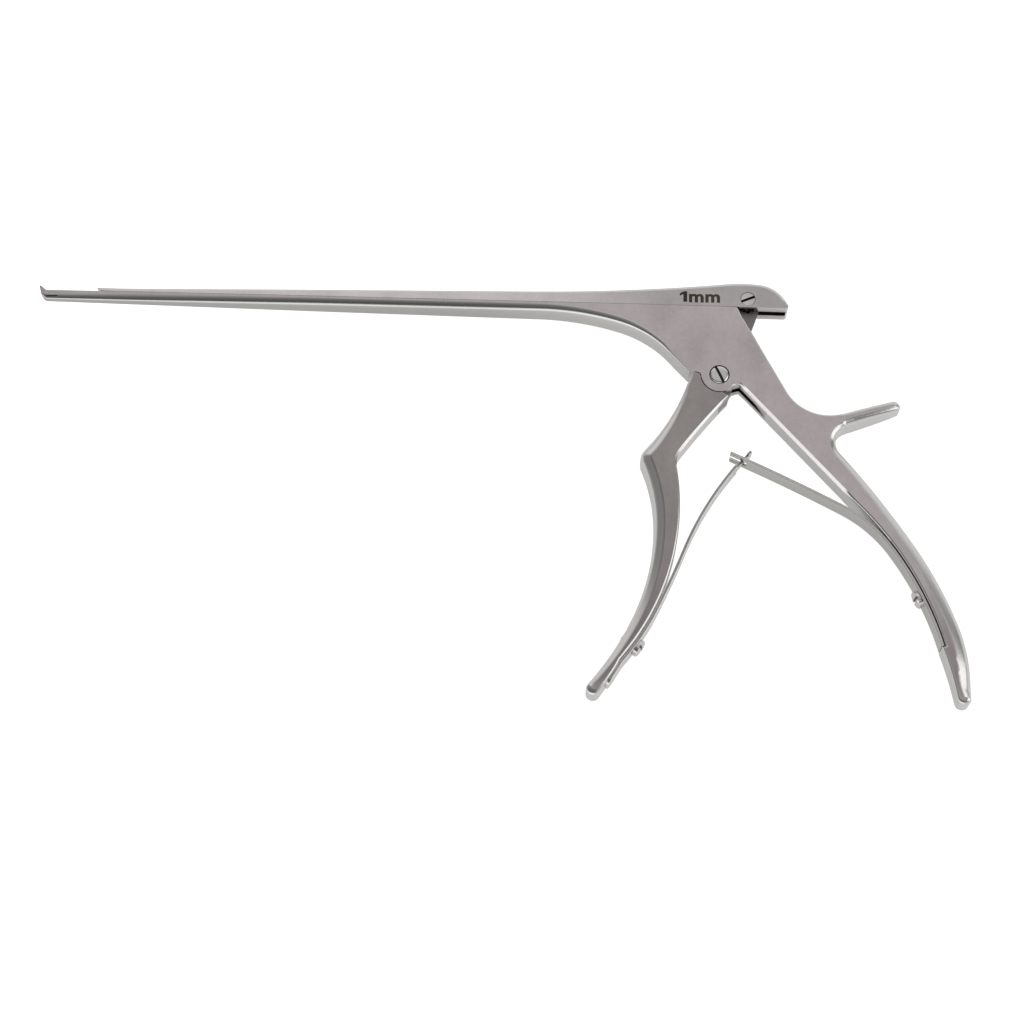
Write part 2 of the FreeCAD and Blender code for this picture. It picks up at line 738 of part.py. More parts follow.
def make_upper_slide(doc, dims):
    """The sliding upper jaw with its swept head over the housing."""
    body = new_body(doc, "upper_slide")
    top = dims.parting_height
    slope = sine(dims.foot_slant) / cosine(dims.foot_slant)
    height = dims.slide_gap + dims.slide_tip_height
    reach = dims.shaft_reach + height / slope - dims.travel - dims.jaw_gap
    floor = top + dims.slide_gap
    outline = Outline(new_sketch(body, "side_profile", height=dims.plate_thickness / 2))
    outline.start(-reach + dims.slide_tip_height / slope, floor)
    outline.line(-reach, floor + dims.slide_tip_height)
    outline.line(-dims.slide_waist_reach, top + dims.slide_waist_height)
    outline.smooth(dims.slide_crown_x, top + dims.slide_crown_height)
    outline.smooth(dims.slide_brow_x, top + dims.slide_brow_height)
    outline.smooth(dims.slide_tail_x, top + dims.slide_tail_height)
    outline.line(dims.slide_end_x, floor)
    outline.line(-reach + dims.slide_tip_height / slope, floor)
    outline.close()
    width = dims.plate_thickness - 2 * dims.slide_side_inset
    feature(body, "Pad", "blade", outline.sketch, width, midplane=True)
    plan_taper(body, dims, dims.slide_side_inset)
    inset = dims.slide_side_inset.value
    low = floor.value + 0.9
    top_edges = rim_edges(body, dims, inset, lambda point: point.y > low)
    rounded(body, "top_round", dims.slide_edge_round, top_edges)
    middle = dims.plate_thickness / 2
    slot_width = dims.arm_thickness + 2 * dims.arm_side_clearance
    sketch = new_sketch(body, "arm_window", height=middle)
    rectangle(sketch, dims.window_start, top - 1, dims.window_end, dims.window_top)
    feature(body, "Pocket", "arm_window_cut", sketch, slot_width, midplane=True)
    sketch = new_sketch(body, "tail_slot", height=middle)
    rectangle(sketch, dims.window_start, top - 1, dims.tail_slot_end, top + dims.tail_slot_depth)
    feature(body, "Pocket", "tail_slot_cut", sketch, slot_width, midplane=True)
    sketch = new_sketch(body, "relief", height=middle)
    rectangle(sketch, -dims.relief_start, top - 1, dims.relief_end, top + dims.relief_depth)
    feature(body, "Pocket", "relief_cut", sketch, width - 2 * dims.relief_wall, midplane=True)
    rail_channel(body, dims, "front_channel", dims.front_rail_reach, dims.front_rail_length)
    rail_channel(body, dims, "rear_channel", dims.rear_rail_reach, dims.rear_rail_length)
    fit = dims.drive_fit
    round_bore(body, "drive_bore", dims.drive_x, dims.drive_height, dims.drive_shank / 2 + fit)
    face = dims.plate_thickness - dims.slide_side_inset
    depth = dims.drive_head_depth + dims.drive_inset + fit
    recess = dims.drive_head_diameter / 2 + fit
    round_bore(body, "drive_recess", dims.drive_x, dims.drive_height, recess, depth, face)
    return body


def grip_profile(body, dims):
    """The side view of the front handle below the pivot."""
    outline = Outline(new_sketch(body, "side_profile"))
    horn = polar(-dims.horn_x, -dims.horn_y, dims.horn_radius, dims.horn_left_angle)
    seat = dims.boss_radius + dims.joint_gap
    seat_start = polar(size_of(0), size_of(0), seat, dims.boss_start_angle)
    seat_end = polar(size_of(0), size_of(0), seat, dims.boss_start_angle + 90)
    back = back_centre(dims)
    back_end = polar(*back, dims.back_radius, -dims.back_end_angle)
    tip_x = back_end[0] - dims.front_tip_run
    tip_y = back_end[1] - dims.front_tip_drop
    outline.start(-dims.front_top_x, -dims.front_top_y)
    outline.arc(-dims.knuckle_x, -dims.knuckle_y, dims.front_left_radius, left=False)
    outline.smooth(-dims.knuckle_low_x, -dims.knuckle_low_y)
    outline.smooth(-dims.finger_mid_x, -dims.finger_mid_y)
    outline.smooth(-dims.finger_low_x, -dims.finger_low_y)
    outline.smooth(tip_x - dims.finger_end_run, tip_y + dims.finger_end_rise)
    outline.smooth(tip_x - dims.front_toe_run, tip_y - dims.front_toe_drop)
    outline.smooth(tip_x, tip_y)
    outline.smooth(*back_end)
    outline.arc(-dims.back_top_x, -dims.back_top_y, dims.back_radius, left=True)
    outline.smooth(-dims.front_bend_x, -dims.front_bend_y)
    outline.smooth(dims.front_corner_x, -dims.front_corner_y)
    outline.line(*seat_end)
    outline.arc(seat_start[0], seat_start[1], seat, left=False)
    outline.arc(horn[0], horn[1], dims.horn_radius, left=True)
    outline.line(-dims.front_top_x, -dims.front_top_y)
    outline.close()
    return outline.sketch


def make_front_handle(doc, dims):
    """The trigger handle with the thin hub and forked lever arm that drive the slide."""
    body = new_body(doc, "front_handle")
    feature(body, "Pad", "grip", grip_profile(body, dims), dims.plate_thickness)
    middle = dims.plate_thickness / 2

    centre_x, centre_y = back_centre(dims)
    end_y = polar(centre_x, centre_y, dims.back_radius, -dims.back_end_angle)[1]
    top_x, top_y = -dims.front_top_x.value, -dims.front_top_y.value
    knuckle_x, knuckle_y = -dims.knuckle_x.value, -dims.knuckle_y.value
    near = dims.finger_round.value * 1.5

    def finger_side(point):
        """The hollow finger rest, the tip below the back, and the edge up to the horn."""
        reach = math.hypot(point.x - centre_x.value, point.y - centre_y.value)
        chord = top_x + (point.y - top_y) * (knuckle_x - top_x) / (knuckle_y - top_y)
        above = knuckle_y - 0.01 < point.y < top_y + 0.01 and abs(point.x - chord) < near
        return above or reach < dims.back_radius.value - 1 or point.y < end_y.value + 0.01

    rounded(body, "finger_round", dims.finger_round, rim_edges(body, dims, 0, finger_side, tapered=False))
    hub = new_sketch(body, "hub", height=middle)
    circle(hub, 0, 0, dims.hub_radius)
    feature(body, "Pad", "hub_pad", hub, dims.arm_thickness, midplane=True)
    web = new_sketch(body, "web", height=middle)
    start = polar(size_of(0), size_of(0), dims.hub_radius, dims.boss_start_angle)
    end = polar(size_of(0), size_of(0), dims.hub_radius, dims.boss_end_angle)
    outline = Outline(web).start(*start).line(-dims.horn_x, -dims.front_top_y)
    outline.line(-dims.horn_x, -dims.web_depth).line(0, -dims.web_depth)
    outline.line(dims.front_corner_x, -dims.front_corner_y).line(*end).line(0, 0).line(*start).close()
    feature(body, "Pad", "web_pad", web, dims.arm_thickness, midplane=True)
    arm = new_sketch(body, "lever_arm", height=middle)
    pin = root(dims.drive_x * dims.drive_x + dims.drive_height * dims.drive_height)
    along = (dims.drive_x / pin, dims.drive_height / pin)
    across = (along[1], -along[0])

    def at(rise, side):
        rise, side = size_of(rise), size_of(side)
        return rise * along[0] + side * across[0], rise * along[1] + side * across[1]

    half = dims.arm_half_width
    slot = dims.drive_shank / 2 + dims.fork_play
    top = pin + dims.fork_overreach
    outline = Outline(arm).start(*at(0, -half)).line(*at(0, half)).line(*at(top, half)).line(*at(top, slot))
    floor = dims.drive_height - slot - dims.fork_play
    outline.line(*at(floor, slot)).line(*at(floor, -slot)).line(*at(top, -slot)).line(*at(top, -half))
    outline.line(*at(0, -half)).close()
    feature(body, "Pad", "lever_arm_pad", arm, dims.arm_thickness, midplane=True)
    round_bore(body, "pivot_bore", 0, 0, dims.pivot_bore / 2)
    bore = dims.spring_screw_shank / 2 + dims.spring_screw_fit
    depth = dims.spring_screw_length + 0.4
    stations = [(-depth, 0), (-depth, bore), (2, bore), (2, 0)]
    turned(body, dims, "Groove", "spring_screw_bore", "front", stations)
    return body


def driver_slot(body, dims, name, height, reach, angle):
    """A straight screwdriver slot across a head, at an angle in the plane of the plate."""
    sketch = new_sketch(body, name, height=height)
    along = (cosine(angle), sine(angle))
    half = dims.driver_slot_width / 2
    corners = []
    for u, v in ((-reach, -half), (reach, -half), (reach, half), (-reach, half)):
        corners.append((u * along[0] - v * along[1], u * along[1] + v * along[0]))
    outline = Outline(sketch).start(*corners[0])
    for corner in corners[1:] + corners[:1]:
        outline.line(*corner)
    outline.close()
    feature(body, "Pocket", f"{name}_cut", sketch, dims.driver_slot_depth)


def make_pivot_screw(doc, dims):
    """The flush screw the front handle turns on."""
    body = new_body(doc, "pivot_screw")
    sketch = new_sketch(body, "half_section", XZ)
    shank = dims.pivot_bore / 2 - dims.pivot_clearance
    head = dims.pivot_head_diameter / 2
    seat = dims.plate_thickness - dims.pivot_head_seat
    rim = dims.plate_thickness
    outline = Outline(sketch).start(0, dims.screw_end_inset).line(shank, dims.screw_end_inset)
    outline.line(shank, seat).line(head, seat).line(head, rim)
    crown = dims.pivot_head_crown
    outline.arc(0, rim + crown, (head * head + crown * crown) / (2 * crown), left=True)
    outline.line(0, dims.screw_end_inset).close()
    item = body.newObject("PartDesign::Revolution", "turned_screw")
    item.Profile = sketch
    item.ReferenceAxis = (sketch, ["V_Axis"])
    item.Angle = 360
    sketch.Visibility = False
    driver_slot(body, dims, "driver_slot", rim + dims.pivot_head_crown, head + 1, dims.pivot_slot_angle)
    return body


def make_drive_screw(doc, dims):
    """The flush screw through the slide's tail that the forked arm pushes."""
    body = new_body(doc, "drive_screw")
    sketch = new_sketch(body, "half_section", XZ)
    shank = dims.drive_shank / 2
    head = dims.drive_head_diameter / 2
    face = dims.plate_thickness - dims.slide_side_inset - dims.drive_inset
    low = dims.slide_side_inset + dims.screw_end_inset
    outline = Outline(sketch).start(0, low).line(shank, low)
    outline.line(shank, face - dims.drive_head_depth).line(head, face - dims.drive_head_depth)
    outline.line(head, face).line(0, face).line(0, low).close()
    item = body.newObject("PartDesign::Revolution", "turned_screw")
    item.Profile = sketch
    item.ReferenceAxis = (sketch, ["V_Axis"])
    item.Angle = 360
    sketch.Visibility = False
    driver_slot(body, dims, "driver_slot", face, head + 1, dims.drive_slot_angle)
    bind(body, "Placement.Base.x", dims.drive_x)
    bind(body, "Placement.Base.y", dims.drive_height)
    return body


def make_spring_screw(doc, dims, side):
    """The slotted cheese-head screw that clamps a leaf spring to its handle."""
    body = new_body(doc, f"{side}_spring_screw")
    shank = dims.spring_screw_shank / 2
    head = dims.spring_screw_head / 2
    seat = dims.leaf_thickness + 2 * dims.leaf_gap
    rim = seat + dims.spring_screw_head_height
    crown = rim + dims.spring_screw_crown
    stations = [(-dims.spring_screw_length, 0), (-dims.spring_screw_length, shank), (seat, shank),
                (seat, head), (rim, head), (crown, head * 0.72), (crown, 0)]
    turned(body, dims, "Revolution", "half_section", side, stations)
    x, y, angle = screw_place(dims, side)
    sketch = new_sketch(body, "driver_slot", height=dims.plate_thickness / 2)
    half = dims.driver_slot_width / 2
    low = crown - dims.driver_slot_depth
    high = crown + 1
    corners = []
    for u, v in ((low, -half), (high, -half), (high, half), (low, half)):
        corners.append((x + u * cosine(angle) - v * sine(angle), y + u * sine(angle) + v * cosine(angle)))
    outline = Outline(sketch).start(*corners[0])
    for corner in corners[1:] + corners[:1]:
        outline.line(*corner)
    outline.close()
    feature(body, "Pocket", "driver_slot_cut", sketch, dims.spring_screw_head + 2, midplane=True)
    return body


def leaf_band(doc, dims, label, path):
    """A strip of spring steel that follows a path in the middle of the plate's thickness."""
    band = doc.addObject("Part::Offset2D", f"{label}_band")
    band.Source = path
    band.Fill = True
    band.Join = 0
    band.Mode = 0
    bind(band, "Value", dims.leaf_thickness / 2)
    strip = doc.addObject("Part::Extrusion", f"{label}_strip")
    strip.Base = band
    strip.DirMode = "Custom"
    strip.Dir = FreeCAD.Vector(0, 0, 1)
    strip.Solid = True
    strip.Symmetric = True
    bind(strip, "LengthFwd", dims.leaf_width)
    doc.recompute()
    return strip


def leaf_path(doc, dims, label):
    sketch = doc.addObject("Sketcher::SketchObject", f"{label}_path")
    bind(sketch, "Placement.Base.z", dims.plate_thickness / 2)
    return sketch


def cutter_box(doc, name, low, high):
    """A block between two corners, each corner three sizes."""
    box = doc.addObject("Part::Box", name)
    for prop, a, b in zip(("Length", "Width", "Height"), low, high):
        bind(box, prop, size_of(b) - size_of(a))
    for axis, a in zip("xyz", low):
        bind(box, f"Placement.Base.{axis}", a)
    return box


def screw_cutter(doc, dims, label, side):
    """The clearance hole for a spring screw's shank."""
    x, y, angle = screw_place(dims, side)
    hole = doc.addObject("Part::Cylinder", f"{label}_hole")
    bind(hole, "Radius", dims.spring_screw_shank / 2 + dims.leaf_gap)
    bind(hole, "Height", size_of(6))
    bind(hole, "Placement.Base.x", x - 3 * cosine(angle))
    bind(hole, "Placement.Base.y", y - 3 * sine(angle))
    bind(hole, "Placement.Base.z", dims.plate_thickness / 2)
    hole.Placement.Rotation = FreeCAD.Rotation(FreeCAD.Vector(0, 0, 1), FreeCAD.Vector(
        math.cos(math.radians(angle.value)), math.sin(math.radians(angle.value)), 0))
    return hole


def cut(doc, name, base, tools):
    for number, tool in enumerate(tools, start=1):
        item = doc.addObject("Part::Cut", f"{name}_{number}")
        item.Base = base
        item.Tool = tool
        base = item
    return base


def make_front_leaf(doc, dims):
    """The leaf on the front handle; its free end is a narrow tongue with a small cross head."""
    label = "front_leaf_spring"
    back = back_centre(dims)
    back_end = polar(*back, dims.back_radius, -dims.back_end_angle)
    line = dims.back_radius + dims.leaf_gap + dims.leaf_thickness / 2
    sketch = leaf_path(doc, dims, label)
    outline = Outline(sketch)
    outline.start(back_end[0] - dims.front_leaf_end_run, back_end[1] - dims.front_leaf_end_drop)
    outline.line(*polar(*back, line, -dims.back_end_angle))
    outline.arc(*polar(*back, line, -dims.front_leaf_leave_angle), line, left=True)
    outline.smooth(-dims.front_leaf_bend_x, -dims.front_leaf_bend_y)
    outline.smooth(dims.front_leaf_tip_x, -dims.front_leaf_tip_y)
    outline.draw()
    strip = leaf_band(doc, dims, label, sketch)
    middle = dims.plate_thickness / 2
    reach = dims.leaf_width / 2 + 1
    tools = []
    far = dims.front_leaf_tip_x + dims.tee_width
    neck = dims.front_leaf_tip_x - dims.tee_length
    for word, sign in (("near", 1), ("far", -1)):
        for part_name, start, end, half in (("tongue", dims.tongue_start_x, neck, dims.tongue_width / 2),
                                            ("tee", neck, far, dims.tee_width / 2)):
            edges = sorted((middle + sign * half, middle + sign * reach), key=lambda size: size.value)
            low = (start, -dims.front_leaf_tip_y * 1.6, edges[0])
            high = (end, -dims.front_leaf_tip_y * 0.6, edges[1])
            tools.append(cutter_box(doc, f"{part_name}_{word}", low, high))
    tools.append(screw_cutter(doc, dims, label, "front"))
    leaf = cut(doc, label, strip, tools)
    leaf.Label = label
    return leaf


def make_rear_leaf(doc, dims):
    """The leaf on the rear handle; its free end is forked and takes the front leaf's tongue."""
    label = "rear_leaf_spring"
    seat = seat_centre(dims)
    line = dims.seat_radius - dims.leaf_gap - dims.leaf_thickness / 2
    sketch = leaf_path(doc, dims, label)
    outline = Outline(sketch).start(*polar(*seat, line, dims.seat_end_angle + 0.3))
    outline.arc(*polar(*seat, line, dims.rear_leaf_leave_angle), line, left=True)
    outline.smooth(dims.rear_leaf_bend_x, -dims.rear_leaf_bend_y)
    outline.smooth(dims.rear_leaf_tip_x, -dims.rear_leaf_tip_y)
    outline.draw()
    strip = leaf_band(doc, dims, label, sketch)
    middle = dims.plate_thickness / 2
    half = dims.fork_slot_width / 2
    slot = cutter_box(doc, "fork_slot", (-dims.rear_leaf_tip_x, -dims.rear_leaf_tip_y * 1.6, middle - half),
                      (dims.fork_slot_end_x, -dims.rear_leaf_tip_y * 0.6, middle + half))
    leaf = cut(doc, label, strip, [slot, screw_cutter(doc, dims, label, "rear")])
    leaf.Label = label
    return leaf


def check(doc):
    """Stops the build where a sketch or a feature hasn't worked out."""
    for obj in doc.Objects:
        wrong = {"Invalid", "Error"} & set(obj.State)
        assert not wrong, f"{obj.Name} is {', '.join(sorted(wrong))}"


def main():
    doc = FreeCAD.newDocument("BoneRongeur")
    dims = Dimensions(doc)
    parts = [
        make_fixed_frame(doc, dims),
        make_upper_slide(doc, dims),
        make_front_handle(doc, dims),
        make_pivot_screw(doc, dims),
        make_drive_screw(doc, dims),
        make_front_leaf(doc, dims),
        make_rear_leaf(doc, dims),
        make_spring_screw(doc, dims, "front"),
        make_spring_screw(doc, dims, "rear"),
    ]
    doc.recompute()
    check(doc)
    os.makedirs("parts", exist_ok=True)
    for part in parts:
        shape = part.Shape
        assert not shape.isNull() and shape.isValid(), part.Label
        assert len(shape.Solids) == 1, f"{part.Label} has {len(shape.Solids)} solids"
        shape.exportStep(f"parts/{part.Label}.step")


main()
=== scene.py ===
# %% [markdown]
# A bone rongeur, lying on a white table and seen from above. A long fixed shaft ends in a
# small footplate, an upper jaw slides along it, and squeezing the sprung front handle
# drives that jaw forward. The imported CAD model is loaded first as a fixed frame: X runs
# along the shaft, Y from the handles up to the shaft, and Z is the thickness. The frame
# is in metres; the sizes below are in millimetres and are turned into metres by MM.

import math

import bmesh
import bpy
import numpy as np
from mathutils import Matrix, Vector


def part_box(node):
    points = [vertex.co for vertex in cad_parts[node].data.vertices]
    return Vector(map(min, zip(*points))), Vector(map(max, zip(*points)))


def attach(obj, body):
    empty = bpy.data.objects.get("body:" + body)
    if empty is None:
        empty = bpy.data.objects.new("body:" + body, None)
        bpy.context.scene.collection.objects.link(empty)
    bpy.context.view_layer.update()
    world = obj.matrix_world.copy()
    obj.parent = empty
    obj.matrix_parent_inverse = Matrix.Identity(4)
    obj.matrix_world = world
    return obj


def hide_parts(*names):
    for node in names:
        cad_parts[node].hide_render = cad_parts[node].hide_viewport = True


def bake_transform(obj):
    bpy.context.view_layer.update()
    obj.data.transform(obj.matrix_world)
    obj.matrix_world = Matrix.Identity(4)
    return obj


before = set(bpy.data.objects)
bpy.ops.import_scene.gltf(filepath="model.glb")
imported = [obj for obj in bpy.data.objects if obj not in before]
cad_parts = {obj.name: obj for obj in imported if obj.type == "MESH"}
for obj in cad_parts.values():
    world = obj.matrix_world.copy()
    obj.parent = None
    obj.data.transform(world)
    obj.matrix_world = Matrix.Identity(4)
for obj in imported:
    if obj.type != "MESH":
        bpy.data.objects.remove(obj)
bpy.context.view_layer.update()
MM = 0.001
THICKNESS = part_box("fixed_frame")[1].z / MM
MIDDLE = THICKNESS / 2
print("plate thickness in mm", round(THICKNESS, 2))

# %% [markdown]
# The camera stands well above the tool and a hair to its right, as a photographer
# leaning over a table would hold it. Its place is worked out from a turn, a rise and a
# distance around the point that it looks at, so each of them can be changed alone.

# %% Camera
AIM = Vector((-62.27, -47.46, 8.5)) * MM
TURN = math.radians(1.93)
RISE = math.radians(69.0)
DISTANCE = 0.780

level_reach = math.cos(RISE)
outward = Vector((math.sin(TURN) * level_reach, -math.cos(TURN) * level_reach, math.sin(RISE)))
camera_data = bpy.data.cameras.new("camera")
camera_data.lens = 91.0
camera_data.sensor_width = 36.0
camera_data.sensor_fit = "HORIZONTAL"
camera = bpy.data.objects.new("camera", camera_data)
bpy.context.scene.collection.objects.link(camera)
camera.location = AIM + DISTANCE * outward
camera.rotation_euler = (-outward).to_track_quat("-Z", "Y").to_euler()
bpy.context.scene.camera = camera
print("camera is", round(camera.location.z, 3), "m above the table")

# %% [markdown]
# The room, the table and the metal are all made of shader nodes. Each helper here places
# one node. A result is handed on as a pair, the node and the socket that it comes out of,
# so one helper's result can be written inside the next one's call, as in a sum.

# %% Node helpers
def feed(tree, node, socket, value):
    """Fills a node's socket with a plain value, or links it to a (node, socket) pair."""
    if isinstance(value, tuple) and isinstance(value[0], bpy.types.Node):
        tree.links.new(value[0].outputs[value[1]], node.inputs[socket])
    else:
        node.inputs[socket].default_value = value


def place_node(tree, kind, sockets=None, **settings):
    """A shader node of a kind with its settings, and its sockets fed by name or number."""
    node = tree.nodes.new("ShaderNode" + kind)
    for setting, value in settings.items():
        setattr(node, setting, value)
    for socket, value in (sockets or {}).items():
        feed(tree, node, socket, value)
    return node


def maths(tree, operation, *values):
    """A sum or comparison of numbers or (node, socket) pairs."""
    return place_node(tree, "Math", dict(enumerate(values)), operation=operation), 0


def dot(tree, first, second):
    """How far the first vector reaches along the second."""
    return place_node(tree, "VectorMath", {0: first, 1: second}, operation="DOT_PRODUCT"), "Value"


def scaled(tree, colour, factor):
    """A colour times a factor."""
    return place_node(tree, "VectorMath", {0: colour, "Scale": factor}, operation="SCALE"), 0


def mix(tree, share, first, second):
    """The first colour, turned into the second one by a share."""
    return place_node(tree, "Mix", {0: share, 6: first, 7: second}, data_type="RGBA"), 2


def eased(tree, source, low, high, first=0.0, last=1.0):
    """Goes from first to last as the source rises from low to high, eased at both ends."""
    span = {"Value": source, "From Min": low, "From Max": high, "To Min": first, "To Max": last}
    return place_node(tree, "MapRange", span, interpolation_type="SMOOTHSTEP"), "Result"


def bands(tree, source, levels):
    """A grey ramp through (place, light) pairs."""
    node = place_node(tree, "ValToRGB", {0: source})
    stops = node.color_ramp.elements
    stops[0].position, stops[1].position = levels[0][0], levels[-1][0]
    for place, _ in levels[1:-1]:
        stops.new(place)
    for stop, (_, light) in zip(stops, levels):
        stop.color = (light, light, light, 1)
    return node, "Color"


# %% [markdown]
# Steel shows its surroundings more than its own colour, so the room matters as much as
# the metal. A flat face that looks up mirrors one spot of the room: the camera's own
# direction turned half way round the vertical. Both lists tell how bright the room is by
# how near to that spot it is, from 1 on it to 0 a quarter turn away. In front, where the
# photographer stands, a dark band lies between the grey ceiling and a bright window. At
# the right and the sides the band is only grey. So satin flats turn middle grey, and a
# rounded front edge runs through black into a white line. The back of the room is an even
# pale grey. The camera itself sees plain white wherever it looks past the tool.

# %% The room
FRONT = [(0.0, 1.35), (0.04, 1.2), (0.17, 0.1), (0.5, 0.13), (0.8, 0.25), (0.94, 0.61), (1.0, 0.69)]
SIDES = [(0.0, 0.56), (0.13, 0.44), (0.35, 0.24), (0.8, 0.25), (0.94, 0.61), (1.0, 0.69)]
BACK_LIGHT = 0.75
RIGHT_SHARE = 0.8

world = bpy.data.worlds.new("white_room")
bpy.context.scene.world = world
world.use_nodes = True
room = world.node_tree
room.nodes.clear()
toward = (place_node(room, "TexCoord"), "Generated")
axes = place_node(room, "SeparateXYZ", {0: toward})
spot = dot(room, toward, (-outward.x, -outward.y, outward.z))
rightward = maths(room, "MULTIPLY", eased(room, (axes, "X"), 0.02, 0.3), RIGHT_SHARE)
aside = maths(room, "MAXIMUM", eased(room, (axes, "Y"), -0.3, 0.1), rightward)
around = mix(room, aside, bands(room, spot, FRONT), bands(room, spot, SIDES))
behind = eased(room, (axes, "Y"), 0.5, 0.72)
walls = mix(room, behind, around, (BACK_LIGHT, BACK_LIGHT, BACK_LIGHT, 1))
unseen = place_node(room, "Background", {"Color": walls})
seen = place_node(room, "Background", {"Color": (1, 1, 1, 1)})
rays = place_node(room, "LightPath")
choice = place_node(room, "MixShader", {0: (rays, "Is Camera Ray"), 1: (unseen, 0), 2: (seen, 0)})
place_node(room, "OutputWorld", {"Surface": (choice, 0)})
bpy.context.scene.view_settings.view_transform = "Standard"
print("the room is made of", len(room.nodes), "nodes")

# %% [markdown]
# The table is a plain white sheet. It glows for the camera, so that it stays white there,
# and a little in the steel's reflections. The rest of its light is the room's, so that the
# tool's own shadow shows in its lower edges. It lies a hair below the tool, because two
# faces at one level would flicker.

# %% The table
TABLE_SIDE = 6.0
TABLE_GLOW = 0.86
TABLE_SHINE = 0.32
TABLE_DROP = 0.0002

reach = TABLE_SIDE / 2
corners = [(-reach, -reach), (reach, -reach), (reach, reach), (-reach, reach)]
table_mesh = bpy.data.meshes.new("table")
table_mesh.from_pydata([(x, y, -TABLE_DROP) for x, y in corners], [], [(0, 1, 2, 3)])
table = bpy.data.objects.new("table", table_mesh)
bpy.context.scene.collection.objects.link(table)

sheet = bpy.data.materials.new("white_sheet")
sheet.use_nodes = True
paper = sheet.node_tree
matte = paper.nodes["Principled BSDF"]
feed(paper, matte, "Base Color", (0.8, 0.8, 0.8, 1))
feed(paper, matte, "Roughness", 0.9)
feed(paper, matte, "Specular IOR Level", 0.0)
paths = place_node(paper, "LightPath")
shine = maths(paper, "MULTIPLY", (paths, "Is Glossy Ray"), TABLE_SHINE)
strength = maths(paper, "MULTIPLY_ADD", (paths, "Is Camera Ray"), TABLE_GLOW, shine)
glow = place_node(paper, "Emission", {"Color": (1, 1, 1, 1), "Strength": strength})
both = place_node(paper, "AddShader", {0: (matte, 0), 1: (glow, 0)})
feed(paper, paper.nodes["Material Output"], "Surface", (both, 0))
table.data.materials.append(sheet)

# %% [markdown]
# One weak and wide lamp at the right adds a soft highlight along the palm side. Most of
# the light is the room's.

# %% Lamp
LAMP_PLACE = Vector((0.73, -0.1, 0.46))
LAMP_AIM = Vector((0.07, -0.1, 0))
LAMP_SIDE = 0.7
LAMP_POWER = 1.7

lamp_data = bpy.data.lights.new("right_lamp", "AREA")
lamp_data.size = LAMP_SIDE
lamp_data.energy = LAMP_POWER
lamp = bpy.data.objects.new("right_lamp", lamp_data)
bpy.context.scene.collection.objects.link(lamp)
lamp.location = LAMP_PLACE
lamp.rotation_euler = (LAMP_AIM - LAMP_PLACE).to_track_quat("-Z", "Y").to_euler()

# %% [markdown]
# Surgical steel is ground and then satin finished. Seen close, it has a fine grain along
# the part, slow clouds where the grinding wheel bit more or less, and glossier ground edges.
# The colour also holds painted light. A lighter edge colour on every tilted face is a painted
# sheen, a tone that darkens along a part is painted shade, and slots, seams and bores are
# painted near black as shade. One node group makes all of that, and each part sets its own
# amounts. Three notes on a piece's mesh tell it where to work: how far a corner is on a
# worked edge, which sets its gloss and its painted sheen; the painted shade on that edge;
# and how dark in painted shade a face in a slot or seam is.

# %% Parts of the steel
# Near black, painted into slots, seams and bores as shade.
SLOT_SHADE_COLOUR = (0.05, 0.04, 0.035, 1)


def make_group(name, inputs, outputs):
    """A node group with sockets written as (name, kind, default)."""
    tree = bpy.data.node_groups.new(name, "ShaderNodeTree")
    for socket, kind, default in inputs:
        made = tree.interface.new_socket(socket, in_out="INPUT", socket_type=kind)
        made.default_value = default
    for socket, kind in outputs:
        tree.interface.new_socket(socket, in_out="OUTPUT", socket_type=kind)
    return tree, tree.nodes.new("NodeGroupInput"), tree.nodes.new("NodeGroupOutput")


def noise(tree, place, stretch, scale, detail, amount):
    """Noise about 0 times an amount, over a place that a stretch squeezes along the axes."""
    squeezed = place_node(tree, "Mapping", {"Vector": place, "Scale": stretch})
    sockets = {"Vector": (squeezed, 0), "Scale": scale, "Detail": detail}
    spots = place_node(tree, "TexNoise", sockets)
    return maths(tree, "MULTIPLY", maths(tree, "SUBTRACT", (spots, 0), 0.5), amount)


def note(tree, name):
    """What a piece's mesh notes under a name."""
    return place_node(tree, "Attribute", attribute_name=name), "Fac"


def summed(tree, start, *parts):
    """A start plus each (value, weight) pair's product."""
    for value, weight in parts:
        start = maths(tree, "ADD", start, maths(tree, "MULTIPLY", value, weight))
    return start


